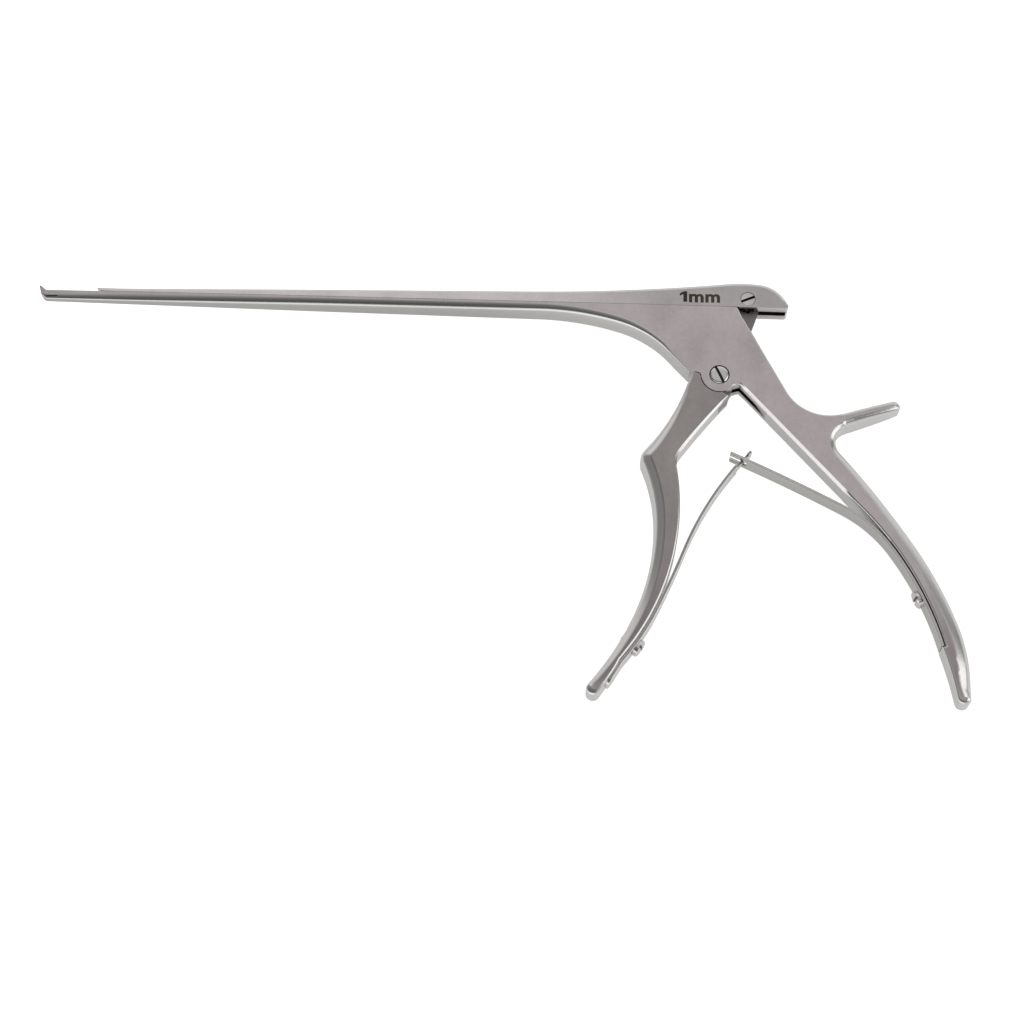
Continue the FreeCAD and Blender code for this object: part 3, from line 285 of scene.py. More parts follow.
# %% The steel group
def steel_group():
    """Satin steel: clouds, grain, glossy edges with a painted sheen, and painted shade along a part
    and in slots, as a colour, a roughness and a height.
    """
    inputs = [
        ("Light", "NodeSocketColor", (0.66, 0.594, 0.6, 1)),
        ("Dark", "NodeSocketColor", (0.49, 0.438, 0.446, 1)),
        ("Edge", "NodeSocketColor", (0.74, 0.73, 0.71, 1)),
        ("Roughness", "NodeSocketFloat", 0.34),
        ("Edge Roughness", "NodeSocketFloat", 0.2),
        ("Grain", "NodeSocketFloat", 1.0),
        ("Clouds", "NodeSocketFloat", 1.0),
        ("Fade Axis", "NodeSocketVector", (1, 0, 0)),
        ("Fade From", "NodeSocketFloat", 1.0),
        ("Fade To", "NodeSocketFloat", 2.0),
        ("Fade Tone", "NodeSocketFloat", 1.0),
    ]
    floats = [("Roughness", "NodeSocketFloat"), ("Height", "NodeSocketFloat")]
    tree, given, out = make_group("satin_steel", inputs, [("Color", "NodeSocketColor")] + floats)
    place = (place_node(tree, "TexCoord"), "Object")
    # The notes: worked edge (gloss and painted sheen), that edge's painted shade, and painted shade
    # in slots.
    polish_and_sheen, painted_rim_shade, recess_shade = note(tree, "polish_and_sheen"), note(tree, "painted_rim_shade"), note(tree, "recess_shade")
    grain = noise(tree, place, (1, 6, 6), 1400, 3, (given, "Grain"))
    cloud = noise(tree, place, (1, 0.6, 1), 110, 3, (given, "Clouds"))
    speck = noise(tree, place, (1, 1, 1), 900, 2, (given, "Grain"))

    bite = summed(tree, 0.5, (cloud, 1.9), (grain, 0.9), (speck, 0.6))
    body = mix(tree, bite, (given, "Dark"), (given, "Light"))
    # Painted shade: the body darkens along an axis to the fade tone.
    along = dot(tree, place, (given, "Fade Axis"))
    fade = eased(tree, along, (given, "Fade From"), (given, "Fade To"), 1.0, (given, "Fade Tone"))
    # Painted sheen: tilted faces take the lighter edge colour, which the rim note shades; ground
    # edges are also glossier.
    rim = scaled(tree, (given, "Edge"), painted_rim_shade)
    skin = mix(tree, polish_and_sheen, scaled(tree, body, fade), rim)
    # Painted shade: faces in slots, seams and bores turn near black.
    feed(tree, out, "Color", mix(tree, recess_shade, skin, SLOT_SHADE_COLOUR))

    rough = summed(tree, (given, "Roughness"), (cloud, 0.25), (grain, 0.12))
    to_edge = maths(tree, "SUBTRACT", (given, "Edge Roughness"), rough)
    feed(tree, out, "Roughness", summed(tree, rough, (to_edge, polish_and_sheen), (recess_shade, 0.3)))

    calm = maths(tree, "SUBTRACT", 1.0, maths(tree, "MULTIPLY", polish_and_sheen, 0.7))
    height = summed(tree, grain, (speck, 0.5))
    feed(tree, out, "Height", maths(tree, "MULTIPLY", height, calm))
    return tree


STEEL = steel_group()

# %% [markdown]
# Every part gets its own steel from the group. The jaw darkens towards its head and both
# handles towards their lower ends, a painted shade. The front leaf's steel is a darker copy
# of the rear leaf's, also painted shade, and the size mark is the same metal etched dull
# and dark.

# %% Finishes
def steel(name, grain_depth, **values):
    """A material from the steel group, its height turned into a bump of a depth in metres."""
    material = bpy.data.materials.new(name)
    material.use_nodes = True
    tree = material.node_tree
    metal = place_node(tree, "Group", node_tree=STEEL)
    for socket, value in values.items():
        feed(tree, metal, socket.replace("_", " "), value)
    relief = {"Strength": 1.0, "Distance": grain_depth, "Height": (metal, "Height")}
    bump = place_node(tree, "Bump", relief)
    shader = tree.nodes["Principled BSDF"]
    feed(tree, shader, "Metallic", 1.0)
    feed(tree, shader, "Base Color", (metal, "Color"))
    feed(tree, shader, "Roughness", (metal, "Roughness"))
    feed(tree, shader, "Normal", (bump, 0))
    return material


etched = steel(
    "etched_steel", 0.00002, Light=(0.14, 0.11, 0.09, 1), Dark=(0.06, 0.048, 0.038, 1),
    Edge=(0.06, 0.05, 0.04, 1), Roughness=0.62, Edge_Roughness=0.6,
)
# Painted shade: darker towards the rear handle's lower end.
forged = steel(
    "forged_steel", 0.00001,
    Fade_Axis=(0, -1, 0), Fade_From=0.066, Fade_To=0.087, Fade_Tone=0.6,
)
# Painted shade: darker towards the head.
jaw_steel = steel(
    "jaw_steel", 0.00001, Light=(0.9, 0.84, 0.83, 1), Dark=(0.7, 0.65, 0.65, 1),
    Fade_Axis=(1, 0, 0), Fade_From=-0.075, Fade_To=-0.005, Fade_Tone=0.66,
)
# Painted shade: darker towards the grip's lower end.
grip_steel = steel(
    "grip_steel", 0.00001, Light=(0.43, 0.389, 0.382, 1), Dark=(0.32, 0.29, 0.284, 1),
    Fade_Axis=(0, -1, 0), Fade_From=0.05, Fade_To=0.09, Fade_Tone=0.75,
)
# A darker copy of the spring steel for the front leaf: painted shade.
shade_painted_spring = steel(
    "shade_painted_spring_steel", 0.000006, Roughness=0.26,
    Light=(0.4, 0.39, 0.38, 1), Dark=(0.3, 0.29, 0.28, 1),
)
spring_steel = steel(
    "spring_steel", 0.000006, Roughness=0.26,
    Light=(0.66, 0.64, 0.62, 1), Edge=(0.62, 0.61, 0.58, 1),
)
screw_steel = steel("screw_steel", 0.000004, Roughness=0.2, Grain=0.5, Light=(0.72, 0.7, 0.7, 1))
print("steels:", ", ".join(m.name for m in bpy.data.materials if m.name.endswith("steel")))

# %% [markdown]
# The three big parts are flat steel forgings, so each is one outline with a thickness
# and worked edges. The outline is drawn as on paper, with lines and arcs. Complex
# numbers stand for its points, because multiplying by 1j turns a direction to its left.

# %% Outlines
class Outline:
    """A closed outline: each line or arc starts where the last one ended and has its own
    edge rounding, which is one number, or two between which it changes evenly. Adding 1j
    to it makes it a flat bevel, and more than 1j a steeper one."""

    def __init__(self, x, y, step=1.2):
        self.step = step
        self.at = complex(x, y)
        self.points = [self.at]
        self.edges = []
        self.heading = 0
        self.pending = None

    def _add(self, points, edge):
        """Takes up the points after the first, which is the last one's end."""
        self.points += list(points[1:])
        first, last = edge if isinstance(edge, tuple) else (edge, edge)
        self.edges += list(np.linspace(first, last, len(points))[1:])
        self.at = points[-1]
        self.heading = (points[-1] - points[-2]) / abs(points[-1] - points[-2])

    def line(self, x, y, edge):
        end = complex(x, y)
        if self.pending:
            self._round(end, edge)
        count = max(2, int(abs(end - self.at) / self.step) + 1)
        self._add(np.linspace(self.at, end, count), edge)
        return self

    def corner(self, x, y, radius, edge):
        """A line to a point where the next line starts, cut back there by a rounding."""
        self.pending = (complex(x, y), radius, edge)
        return self

    def _round(self, end, edge):
        """Rounds the corner left behind. Its arc touches both lines at radius / tan(half
        the angle between them) from the corner."""
        corner, radius, before_edge = self.pending
        self.pending = None
        back = (self.at - corner) / abs(self.at - corner)
        ahead = (end - corner) / abs(end - corner)
        half = abs(np.angle(ahead / back)) / 2
        reach = radius / math.tan(half)
        left = np.angle(ahead / back) < 0
        first = corner + back * reach
        self._add(np.array([self.at, first]), before_edge)
        normal = 1j if left else -1j
        centre = first + radius * normal * -back
        self._sweep(corner + ahead * reach, centre, left, edge)

    def _sweep(self, end, centre, left, edge):
        """Turns the radius from the centre to here until it meets the end, to the left or
        the right: the centre plus that radius times e^(i angle)."""
        start = self.at - centre
        turn = np.angle((end - centre) / start)
        if left and turn < 0:
            turn += 2 * math.pi
        if not left and turn > 0:
            turn -= 2 * math.pi
        by_angle, by_length = abs(turn) / math.radians(3), abs(turn * start) / self.step
        count = max(3, int(by_angle) + 2, int(by_length) + 2)
        self._add(centre + start * np.exp(1j * np.linspace(0, turn, count)), edge)
        last = (end - centre) * (1j if left else -1j)
        self.heading = last / abs(last)

    def arc(self, x, y, radius, left, edge):
        """An arc of a radius. Its centre is beside the middle of the chord c, at the root
        of radius^2 - c^2 / 4."""
        end = complex(x, y)
        chord = end - self.at
        normal = chord / abs(chord) * (1j if left else -1j)
        rise = math.sqrt(radius**2 - abs(chord) ** 2 / 4)
        self._sweep(end, (self.at + end) / 2 + normal * rise, left, edge)
        return self

    def smooth(self, x, y, edge):
        """An arc that leaves along the last direction, so its centre is on that direction's
        normal, equally far from both ends."""
        end = complex(x, y)
        chord = end - self.at
        side = self.heading * 1j
        reach = abs(chord) ** 2 / (2 * (chord * side.conjugate()).real)
        self._sweep(end, self.at + side * reach, reach > 0, edge)
        return self

    def arrays(self):
        """The points anticlockwise as complex numbers, and the edge rounding at each. The sign
        of the shoelace sum, of x1 y2 - x2 y1 over all sides, tells which way they were drawn."""
        points = np.array(self.points[:-1])
        edges = np.array(self.edges)
        if (points.conjugate() * np.roll(points, -1)).imag.sum() < 0:
            return points[::-1], edges[::-1]
        return points, edges


def polar(centre, radius, degrees):
    """The point at a radius and an angle about a centre, as x and y."""
    place = centre + radius * np.exp(1j * math.radians(degrees))
    return place.real, place.imag


def blur(values, steps):
    """A running mean around the closed outline, so one edge rounding fades into the next."""
    kernel = np.ones(2 * steps + 1) / (2 * steps + 1)
    wrapped = np.concatenate([values[-steps:], values, values[:steps]])
    return np.convolve(wrapped, kernel, "valid")


# %% [markdown]
# A rounded plate is a stack of rings. Going up its edge, each ring is the outline moved
# inwards and raised along an arc that ends in the flat face. A rounding reaches as far in
# as its number says, and as far down if the plate is thick enough there. A wide one may
# stop short of a full quarter arc, which leaves the faint line of hand grinding where it
# meets the flat. The rounding may change along the outline.

# %% Rounded plates
EDGE_STEPS = 9
DEEPEST = 0.85
UNDER = 0.8
FINEST = 0.03


def inward(points):
    """Unit normals to the left of a path that runs anticlockwise, lengthened at corners so
    that moved edges stay parallel: the sum of both edge normals over 1 + their product."""
    ahead = np.roll(points, -1) - points
    ahead /= abs(ahead)
    before = np.roll(ahead, 1)
    sharpness = np.maximum(1 + (ahead * before.conjugate()).real, 0.6)
    return 1j * (ahead + before) / sharpness


def stack(name, rings):
    """An object with a closed skin over level rings of equally many corners, which are in
    millimetres and run from the lowest ring up."""
    count = len(rings[0])
    here = np.arange(count)
    after = np.roll(here, -1)
    faces = [list(here[::-1])]
    for row in range(len(rings) - 1):
        base, top = row * count, (row + 1) * count
        faces += np.column_stack([here + base, after + base, after + top, here + top]).tolist()
    faces.append(list(here + (len(rings) - 1) * count))
    mesh = bpy.data.meshes.new(name)
    mesh.from_pydata(np.concatenate(rings) * MM, [], faces)
    mesh.shade_smooth()
    obj = bpy.data.objects.new(name, mesh)
    bpy.context.scene.collection.objects.link(obj)
    return obj


def rounded_plate(name, outline, half, wide_arc=90, fade=2, thinning=None):
    """A plate of half a thickness to either side of the middle. At the share u of its arc S,
    the rim is r(1 - cos uS)/(1 - cos S) in and d(1 - sin uS/sin S) down, where r is the
    rounding and d the same or, if that is less, most of the half thickness left there. The
    side that lies on the table is worked less: its rounding is never more than UNDER."""
    points, edge = outline.arrays()
    steep = blur(edge.imag, fade)
    bevel = np.minimum(steep, 1)
    edge = np.maximum(blur(edge.real, fade), FINEST)
    normals = inward(points)
    shares = np.linspace(0, 1, EDGE_STEPS)
    deepest = DEEPEST * (half - thinning(points.real) if thinning else half)
    rings = []
    for side, order, reach in ((-1, shares[::-1], np.minimum(edge, UNDER)), (1, shares, edge)):
        arc = np.radians(np.interp(reach, (1.0, 2.0), (90, wide_arc)))
        deep = np.minimum(reach * np.maximum(steep, 1), deepest)
        for share in order:
            angle = arc * share
            way_in = (1 - bevel) * (1 - np.cos(angle)) / (1 - np.cos(arc)) + bevel * share
            way_up = (1 - bevel) * np.sin(angle) / np.sin(arc) + bevel * share
            ring = points + normals * reach * way_in
            level = MIDDLE + side * (half - deep * (1 - way_up))
            rings.append(np.column_stack([ring.real, ring.imag, level]))
    return stack(name, rings)


# %% [markdown]
# A plate is then shaped in its thickness, as a smith would at the anvil: the shaft is
# drawn out thinner towards its tip, and ends that a hand meets are rounded off. Both only
# move corners, so edges are first cut across the plate where it has to bend.

# %% Thinning and rounding ends
SHAFT_TIP, SHAFT_MIDDLE, SHAFT_FULL = -210.4, -130.0, -25.0
HALF_AT_TIP, HALF_AT_MIDDLE = 1.5, 2.95
NOSE_STEPS = 14


def divide(piece, stations, ahead=1 + 0j):
    """Cuts edges across a piece at places along a direction, so that it can be bent there."""
    work = bmesh.new()
    work.from_mesh(piece.data)
    for place in stations:
        everything = work.verts[:] + work.edges[:] + work.faces[:]
        spot = place * ahead * MM
        bmesh.ops.bisect_plane(work, geom=everything, plane_co=(spot.real, spot.imag, 0),
                               plane_no=(ahead.real, ahead.imag, 0), dist=1e-7)
    work.to_mesh(piece.data)
    work.free()


def corners_of(piece):
    """The mesh's corners as an array, in millimetres."""
    flat = np.empty(len(piece.data.vertices) * 3)
    piece.data.vertices.foreach_get("co", flat)
    return flat.reshape(-1, 3) / MM


def move_corners(piece, corners):
    piece.data.vertices.foreach_set("co", (corners * MM).ravel())
    piece.data.update()


def shaft_thinning(x):
    """What is missing from the half thickness, more towards the tip in two straight runs."""
    halves = (HALF_AT_TIP, HALF_AT_MIDDLE, MIDDLE)
    return MIDDLE - np.interp(x, (SHAFT_TIP, SHAFT_MIDDLE, SHAFT_FULL), halves)


def taper(piece):
    """Thins the shaft towards its tip, seen from above, by moving both sides in."""
    divide(piece, (SHAFT_MIDDLE, SHAFT_FULL))
    corners = corners_of(piece)
    corners[:, 2] -= np.sign(corners[:, 2] - MIDDLE) * shaft_thinning(corners[:, 0])
    move_corners(piece, corners)


def nose(piece, root, tip, top, under):
    """Rounds off an end between a root and a tip. At the share u of the way, the thickness
    above the middle falls to 1 - top (1 - sqrt(1 - u^2)), a quarter ellipse if top is 1."""
    length = abs(tip - root)
    ahead = (tip - root) / length
    start = (root * ahead.conjugate()).real
    stations = start + length * np.sin(np.linspace(0, math.pi / 2, NOSE_STEPS))
    divide(piece, stations[:-1], ahead)
    corners = corners_of(piece)
    way = (corners[:, 0] + 1j * corners[:, 1]) * ahead.conjugate()
    share = np.clip((way.real - start) / length, 0, 1)
    fall = 1 - np.sqrt(1 - share**2)
    rise = corners[:, 2] - MIDDLE
    corners[:, 2] = MIDDLE + rise * (1 - fall * np.where(rise > 0, top, under))
    move_corners(piece, corners)


# %% [markdown]
# Slots and bores are cut with plain blocks and rods. A Boolean modifier does it, and its
# result replaces the mesh, so no cutter is left in the scene.

# %% Cutting
def prism(points, low, high):
    """A closed block over an anticlockwise polygon, from one height to another."""
    ring = np.array(points, float)
    return stack("cutter", [np.column_stack([ring, np.full(len(ring), z)]) for z in (low, high)])


def block(low, high):
    """A block between two opposite corners."""
    plan = [(low[0], low[1]), (high[0], low[1]), (high[0], high[1]), (low[0], high[1])]
    return prism(plan, low[2], high[2])


def rod(centre, radius, low, high, count=72):
    """An upright rod as a prism over a regular polygon."""
    turn = np.linspace(0, 2 * math.pi, count, endpoint=False)
    ring = np.column_stack([centre[0] + radius * np.cos(turn), centre[1] + radius * np.sin(turn)])
    return prism(ring, low, high)


def apply_modifiers(piece):
    """Replaces a mesh by what its modifiers make of it."""
    graph = bpy.context.evaluated_depsgraph_get()
    finished = bpy.data.meshes.new_from_object(piece.evaluated_get(graph))
    piece.modifiers.clear()
    old = piece.data
    piece.data = finished
    bpy.data.meshes.remove(old)


def combine(piece, others, operation):
    """Cuts the others out of a piece, or joins them to it."""
    for other in others:
        step = piece.modifiers.new(operation.lower(), "BOOLEAN")
        step.operation = operation
        step.solver = "EXACT"
        step.object = other
        bpy.context.view_layer.update()
        apply_modifiers(piece)
        old = other.data
        bpy.data.objects.remove(other)
        bpy.data.meshes.remove(old)


def split_flats(piece):
    """Cuts faces of many corners into triangles, whose new edges are marked as seams. The
    solver leaves gaps where it cuts a large flat face with many corners in one line."""
    work = bmesh.new()
    work.from_mesh(piece.data)
    large = [face for face in work.faces if len(face.verts) > 4]
    for edge in bmesh.ops.triangulate(work, faces=large)["edges"]:
        edge.seam = True
    work.to_mesh(piece.data)
    work.free()


def join_flats(piece):
    """Joins what was split, so that a flat weighs as one face in the shading."""
    work = bmesh.new()
    work.from_mesh(piece.data)
    seams = [edge for edge in work.edges if edge.seam]
    bmesh.ops.dissolve_limit(work, angle_limit=1e-3, use_dissolve_boundaries=False, verts=[],
                             edges=seams, delimit=set())
    work.to_mesh(piece.data)
    work.free()


# %% [markdown]
# A piece is settled when its shape is done. Its faces are shaded smooth across the worked
# edges and flat elsewhere, the three notes for the steel are written on its mesh, and it
# takes over from its plain CAD node.

# %% Settling
# The tilt at which a face counts fully as a worked edge, for its gloss and its painted sheen.
FULL_EDGE_TILT = 0.015
PLAIN_RIM = ((0, 1), (1, 1))


def settle(piece, finish, node, hidden=None, degrees=32, painted_rim_shade=PLAIN_RIM):
    """Marks the sharp edges and writes the notes. A corner's gloss and painted sheen is the
    least tilt of its faces over the tilt at which it is full, where tilt is 1 - |normal's Z|.
    The rim's painted shade goes evenly between the X places and tones given, and
    hidden(place, normal) tells a face's painted shade in slots and seams."""
    piece.data.set_sharp_from_angle(angle=math.radians(degrees))
    weigh = piece.modifiers.new("flat_faces", "WEIGHTED_NORMAL")
    weigh.weight = 50
    weigh.keep_sharp = True
    bpy.context.view_layer.update()
    apply_modifiers(piece)
    mesh = piece.data
    # Per corner, its worked edge (gloss and painted sheen); per face, its painted shade in slots.
    polish_and_sheen = np.ones(len(mesh.vertices), np.float32)
    recess_shade = np.zeros(len(mesh.polygons), np.float32)
    for face in mesh.polygons:
        ring = list(face.vertices)
        polish_and_sheen[ring] = np.minimum(polish_and_sheen[ring], (1 - abs(face.normal.z)) / FULL_EDGE_TILT)
        if hidden:
            recess_shade[face.index] = hidden(face.center / MM, face.normal)
    # The rim's painted shade, between tones given at X places.
    tones = np.interp(corners_of(piece)[:, 0], *painted_rim_shade).astype(np.float32)
    for name, domain, values in (
        ("polish_and_sheen", "POINT", polish_and_sheen), ("recess_shade", "FACE", recess_shade), ("painted_rim_shade", "POINT", tones)
    ):
        mesh.attributes.new(name, "FLOAT", domain).data.foreach_set("value", values)
    mesh.materials.clear()
    mesh.materials.append(finish)
    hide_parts(node)
    print(piece.name, len(mesh.polygons), "faces")


# %% [markdown]
# The fixed part is one forging: a hooked footplate, the lower half of the shaft with the
# rails that carry the jaw, the housing around the pivot, a thumb spur, and the rear handle
# with its rounded palm side. Its rim is broken only a little, but ground round where a
# hand holds it. The outline starts on the parting face and runs round by the belly of the
# shaft, the pivot, the leaf spring's seat, the toe, the palm side and the spur.

# %% The forging
PARTING = 23.15
SEAT_CENTRE = complex(-29.02, -111.72)
SEAT_RADIUS = 99.9
SEAT_END = 15.3
HUB_SPACE = 5.6
BROKEN = 0.8
BELLY = 2.6
PALM = 4.2
SPUR = 1.7

shape = Outline(SHAFT_TIP, PARTING)
shape.line(-212.19, 24.6, 0.25).line(-212.74, 24.6, 0.2).line(-211.9, 21.8, 0.25)
shape.arc(SHAFT_TIP, 20.3, 3.0, True, (0.4, 1.8))
shape.line(-180, 20.3, (1.8, BELLY)).line(-56, 20.3, BELLY)
shape.smooth(-31, 16.7, (BELLY, 2.2)).smooth(-15.3, 6.95, (2.2, 1.2))
shape.line(-9.35, 0.79, 0.4).line(-7.2, 0.79, 0.1)
shape.arc(*polar(0, HUB_SPACE, 188), 1.65, False, 0.1)
shape.arc(*polar(0, HUB_SPACE, 320), HUB_SPACE, True, 0.15)
shape.line(6.3, -3.0, 0.15).line(40.0, -39.5, BROKEN + 1.3j)
shape.arc(*polar(SEAT_CENTRE, SEAT_RADIUS, SEAT_END), SEAT_RADIUS, False, 0.9)
shape.line(*polar(SEAT_CENTRE, SEAT_RADIUS - 1.05, SEAT_END), 0.3)
shape.arc(70.5, -101.1, 130, False, 0.8)
shape.arc(74.85, -101.1, 2.2, True, (0.8, 1.6))
shape.line(74.85, -95.7, (1.6, PALM)).smooth(71.5, -77.3, PALM).smooth(58.8, -52.4, PALM)
shape.smooth(37.2, -24.4, (PALM, 2.5))
shape.corner(31.6, -18.3, 5.5, 2.5).line(55.0, -9.6, (2.5, SPUR))
shape.arc(53.6, -6.4, 1.8, True, SPUR)
shape.corner(26.5, -15.2, 14.5, SPUR).line(5.4, PARTING, BROKEN)
shape.line(SHAFT_TIP, PARTING, 0.06)

forging = rounded_plate("forging", shape, MIDDLE, 80, thinning=shaft_thinning)
taper(forging)
nose(forging, 71.0 - 88j, 73.0 - 103.3j, 0.3, 0.1)
nose(forging, 36.0 - 14.6j, 55.8 - 7.6j, 0.4, 0.8)

# %% [markdown]
# The lever arm swings in a slot that is milled out of the housing, from the jaw's side
# round the pivot to the back. The rails are keyed, a narrow neck under a wider head, so
# that the jaw can slide along them but can't lift off.

# %% Slot, bores and rails
PIVOT_BORE = 1.8
HEAD_BORE = 3.12
DRIVE = (8.75, 26.0)
RAILS = (150, 62)
RAIL_LENGTH = 20

arm_slot = (MIDDLE - 1.3, MIDDLE + 1.3)
slot_mouth = [(12.93, 24.15), (-12.93, 24.15), (-5.9, 2.6)]
slot_mouth += [polar(0, 5.9, degrees) for degrees in range(180, 361, 12)] + [(5.9, 2.6)]
run_out = [(0, 0), (6.3, -14.6), (16.4, -14.6), (5.9, 0)]
slots = [prism(slot_mouth, *arm_slot), prism(run_out, *arm_slot)]
bores = [rod((0, 0), PIVOT_BORE, -1, 10), rod((0, 0), HEAD_BORE, THICKNESS - 1.45, 10)]


def keyed(start, end, neck, head, half_neck, half_head):
    """A neck and a head along the parting face, each between two rises above it."""
    return [
        block((start, PARTING + rises[0], MIDDLE - half), (end, PARTING + rises[1], MIDDLE + half))
        for rises, half in ((neck, half_neck), (head, half_head))
    ]


split_flats(forging)
for back in RAILS:
    rail, head = keyed(-back, -back + RAIL_LENGTH, (-0.2, 0.65), (0.55, 1.3), 0.7, 1.35)
    combine(rail, [head], "UNION")
    combine(forging, [rail], "UNION")
combine(forging, slots + bores, "DIFFERENCE")
join_flats(forging)

# %% [markdown]
# Slots and seams look black because little light finds its way out of them again, so
# their faces are painted dark here as shade. The function tells for each face how dark it is.

# %% The forging's painted shade
def forging_painted_shade(place, normal):
    """Painted shade in the seams under the jaw and the leaf, the arm's slot and the screw's bores.
    """
    from_pivot = math.hypot(place.x, place.y)
    seam = 0.3 * (abs(place.y - PARTING) < 0.09 and place.x < 6 and abs(normal.z) < 0.98)
    in_slot = abs(place.z - MIDDLE) < 1.35 and (abs(normal.z) > 0.9 or from_pivot < 6)
    in_bore = from_pivot < 3.3 and place.z < THICKNESS - 0.01
    from_seat = complex(place.x, place.y) - SEAT_CENTRE
    on_arc = 15.2 < math.degrees(np.angle(from_seat)) < 36
    if on_arc and abs(abs(from_seat) - SEAT_RADIUS) < 0.6 and normal.z < 0.5:
        return 0.8
    return max(seam, float(in_slot or in_bore))


# The forging's worked edges are painted darker along the shaft, as shade.
settle(forging, forged, "fixed_frame", forging_painted_shade, painted_rim_shade=((-75, -25), (0.74, 1.0)))
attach(forging, "frame")

# %% [markdown]
# The upper jaw slides on the forging. It is a slim blade that swells into a swept head
# over the housing, hollow below so that the lever arm can swing and push it.

# %% The upper jaw
TRAVEL = 17.3
FLOOR = PARTING + 0.05
JAW_HALF = MIDDLE - 0.1
HEAD_EDGE = 1.3
BLADE_EDGE = 0.9

shape = Outline(-193.1, FLOOR)
shape.line(-194.58, FLOOR + 1.2, 0.15).line(-185, 24.54, (0.2, 0.9))
shape.line(-60, 26.9, (0.9, BLADE_EDGE)).smooth(2, 31.4, (BLADE_EDGE, HEAD_EDGE))
shape.smooth(12.5, 31.5, HEAD_EDGE).smooth(21.0, 25.25, HEAD_EDGE)
shape.corner(21.8, FLOOR, 0.9, 1.0).line(-193.1, FLOOR, 0.06)
jaw = rounded_plate("upper_jaw", shape, JAW_HALF, 60, 3, shaft_thinning)
taper(jaw)

# %% [markdown]
# The head is hollow for the swinging arm, and bored for the small screw that the arm
# pushes. Two channels fit over the rails: each is longer than its rail by the jaw's
# travel, and a tenth of a millimetre wider all round.

# %% Hollows and channels
hollows = [
    block((3.0, PARTING - 1, MIDDLE - 1.3), (14.6, 30.1, MIDDLE + 1.3)),
    block((2.9, PARTING - 1, MIDDLE - 1.3), (20.7, PARTING + 2.2, MIDDLE + 1.3)),
    block((-8.0, PARTING - 1, MIDDLE - 3.15), (10.8, PARTING + 1.7, MIDDLE + 3.15)),
    rod(DRIVE, 1.52, -1, 10),
    rod(DRIVE, 2.32, THICKNESS - 1.67, 10),
]
for back in RAILS:
    end = -back + RAIL_LENGTH + TRAVEL + 0.1
    hollows += keyed(-back - 0.1, end, (-1, 0.55), (0.45, 1.4), 0.8, 1.45)
combine(jaw, hollows, "DIFFERENCE")


def jaw_painted_shade(place, normal):
    """Painted shade in the seam above the forging, the hollows below and the screw's bore."""
    seam = place.y < FLOOR + 0.08 and place.x < 6 and abs(normal.z) < 0.98
    in_length = -9 < place.x < 20.75 and FLOOR + 0.1 < place.y < 30.2
    on_back = place.x > 11.3 and normal.x > 0.05 and normal.y > 0.05
    return float(seam or (in_length and abs(place.z - MIDDLE) < 3.16 and not on_back))


settle(jaw, jaw_steel, "upper_slide", jaw_painted_shade)
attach(jaw, "slide")

# %% [markdown]
# The jaw's bite width is etched on its head as a plain size. Etching leaves a dull dark
# mark with hardly any depth, so the letters are a very thin layer that lies on the flat.
# The figure is drawn as a polygon, because the real one has a flag and no foot, and the
# unit is set in Blender's own typeface.

# %% Size mark
MARK_TILT = math.radians(0.9)
MARK_SKIN = 0.004
LETTER_SIZE = 3.9 / 0.7
LETTER_WEIGHT = 0.2
LETTER_STRETCH = 1.14


def etch(mark, x, y):
    """Turns a mark to the head's slope and lays it on the jaw's flat, to slide with it."""
    flat = corners_of(mark)
    turned = (flat[:, 0] + 1j * flat[:, 1]) * np.exp(1j * MARK_TILT) + complex(x, y)
    move_corners(mark, np.column_stack([turned.real, turned.imag, flat[:, 2] + MIDDLE + JAW_HALF]))
    mark.data.materials.append(etched)
    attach(mark, "slide")


stroke = [(1.15, 0), (2.35, 0), (2.35, 3.6), (1.35, 3.6), (0.05, 2.85), (0.05, 2.0), (1.15, 2.6)]
figure = prism(stroke, -MARK_SKIN, MARK_SKIN)
figure.name = figure.data.name = "size_mark_figure"
etch(figure, -12.5, 24.4)

letters = bpy.data.curves.new("size_mark", "FONT")
letters.body = "mm"
letters.size = LETTER_SIZE * MM
letters.offset = LETTER_WEIGHT * MM
letters.space_character = 1.06
letters.extrude = MARK_SKIN * MM
drawn = bpy.data.objects.new("size_mark_letters", letters)
bpy.context.scene.collection.objects.link(drawn)
bpy.context.view_layer.update()
graph = bpy.context.evaluated_depsgraph_get()
unit_mesh = bpy.data.meshes.new_from_object(drawn.evaluated_get(graph))
bpy.data.objects.remove(drawn)
bpy.data.curves.remove(letters)
unit = bpy.data.objects.new("size_mark_unit", unit_mesh)
unit.data.transform(Matrix.Diagonal((LETTER_STRETCH, 1, 1, 1)))
work = bmesh.new()
work.from_mesh(unit.data)
bmesh.ops.remove_doubles(work, verts=work.verts, dist=1e-7)
bmesh.ops.recalc_face_normals(work, faces=work.faces)
work.to_mesh(unit.data)
work.free()
bpy.context.scene.collection.objects.link(unit)
etch(unit, -9.75, 24.45)

# %% [markdown]
# The front handle is a trigger. Its finger side is rounded wide and has a short hollow
# above and a long one below, its back carries the leaf spring, and a thin plate at its
# top turns on the pivot inside the housing. The outline starts at the housing's front and
# runs down the finger side, round the toe and up the back.

# %% The front handle
BACK_CENTRE = complex(-89.59, -43.7)
BACK_RADIUS = 78.0
BACK_END = -38.8
FINGER = 3.3
BACK = 0.8

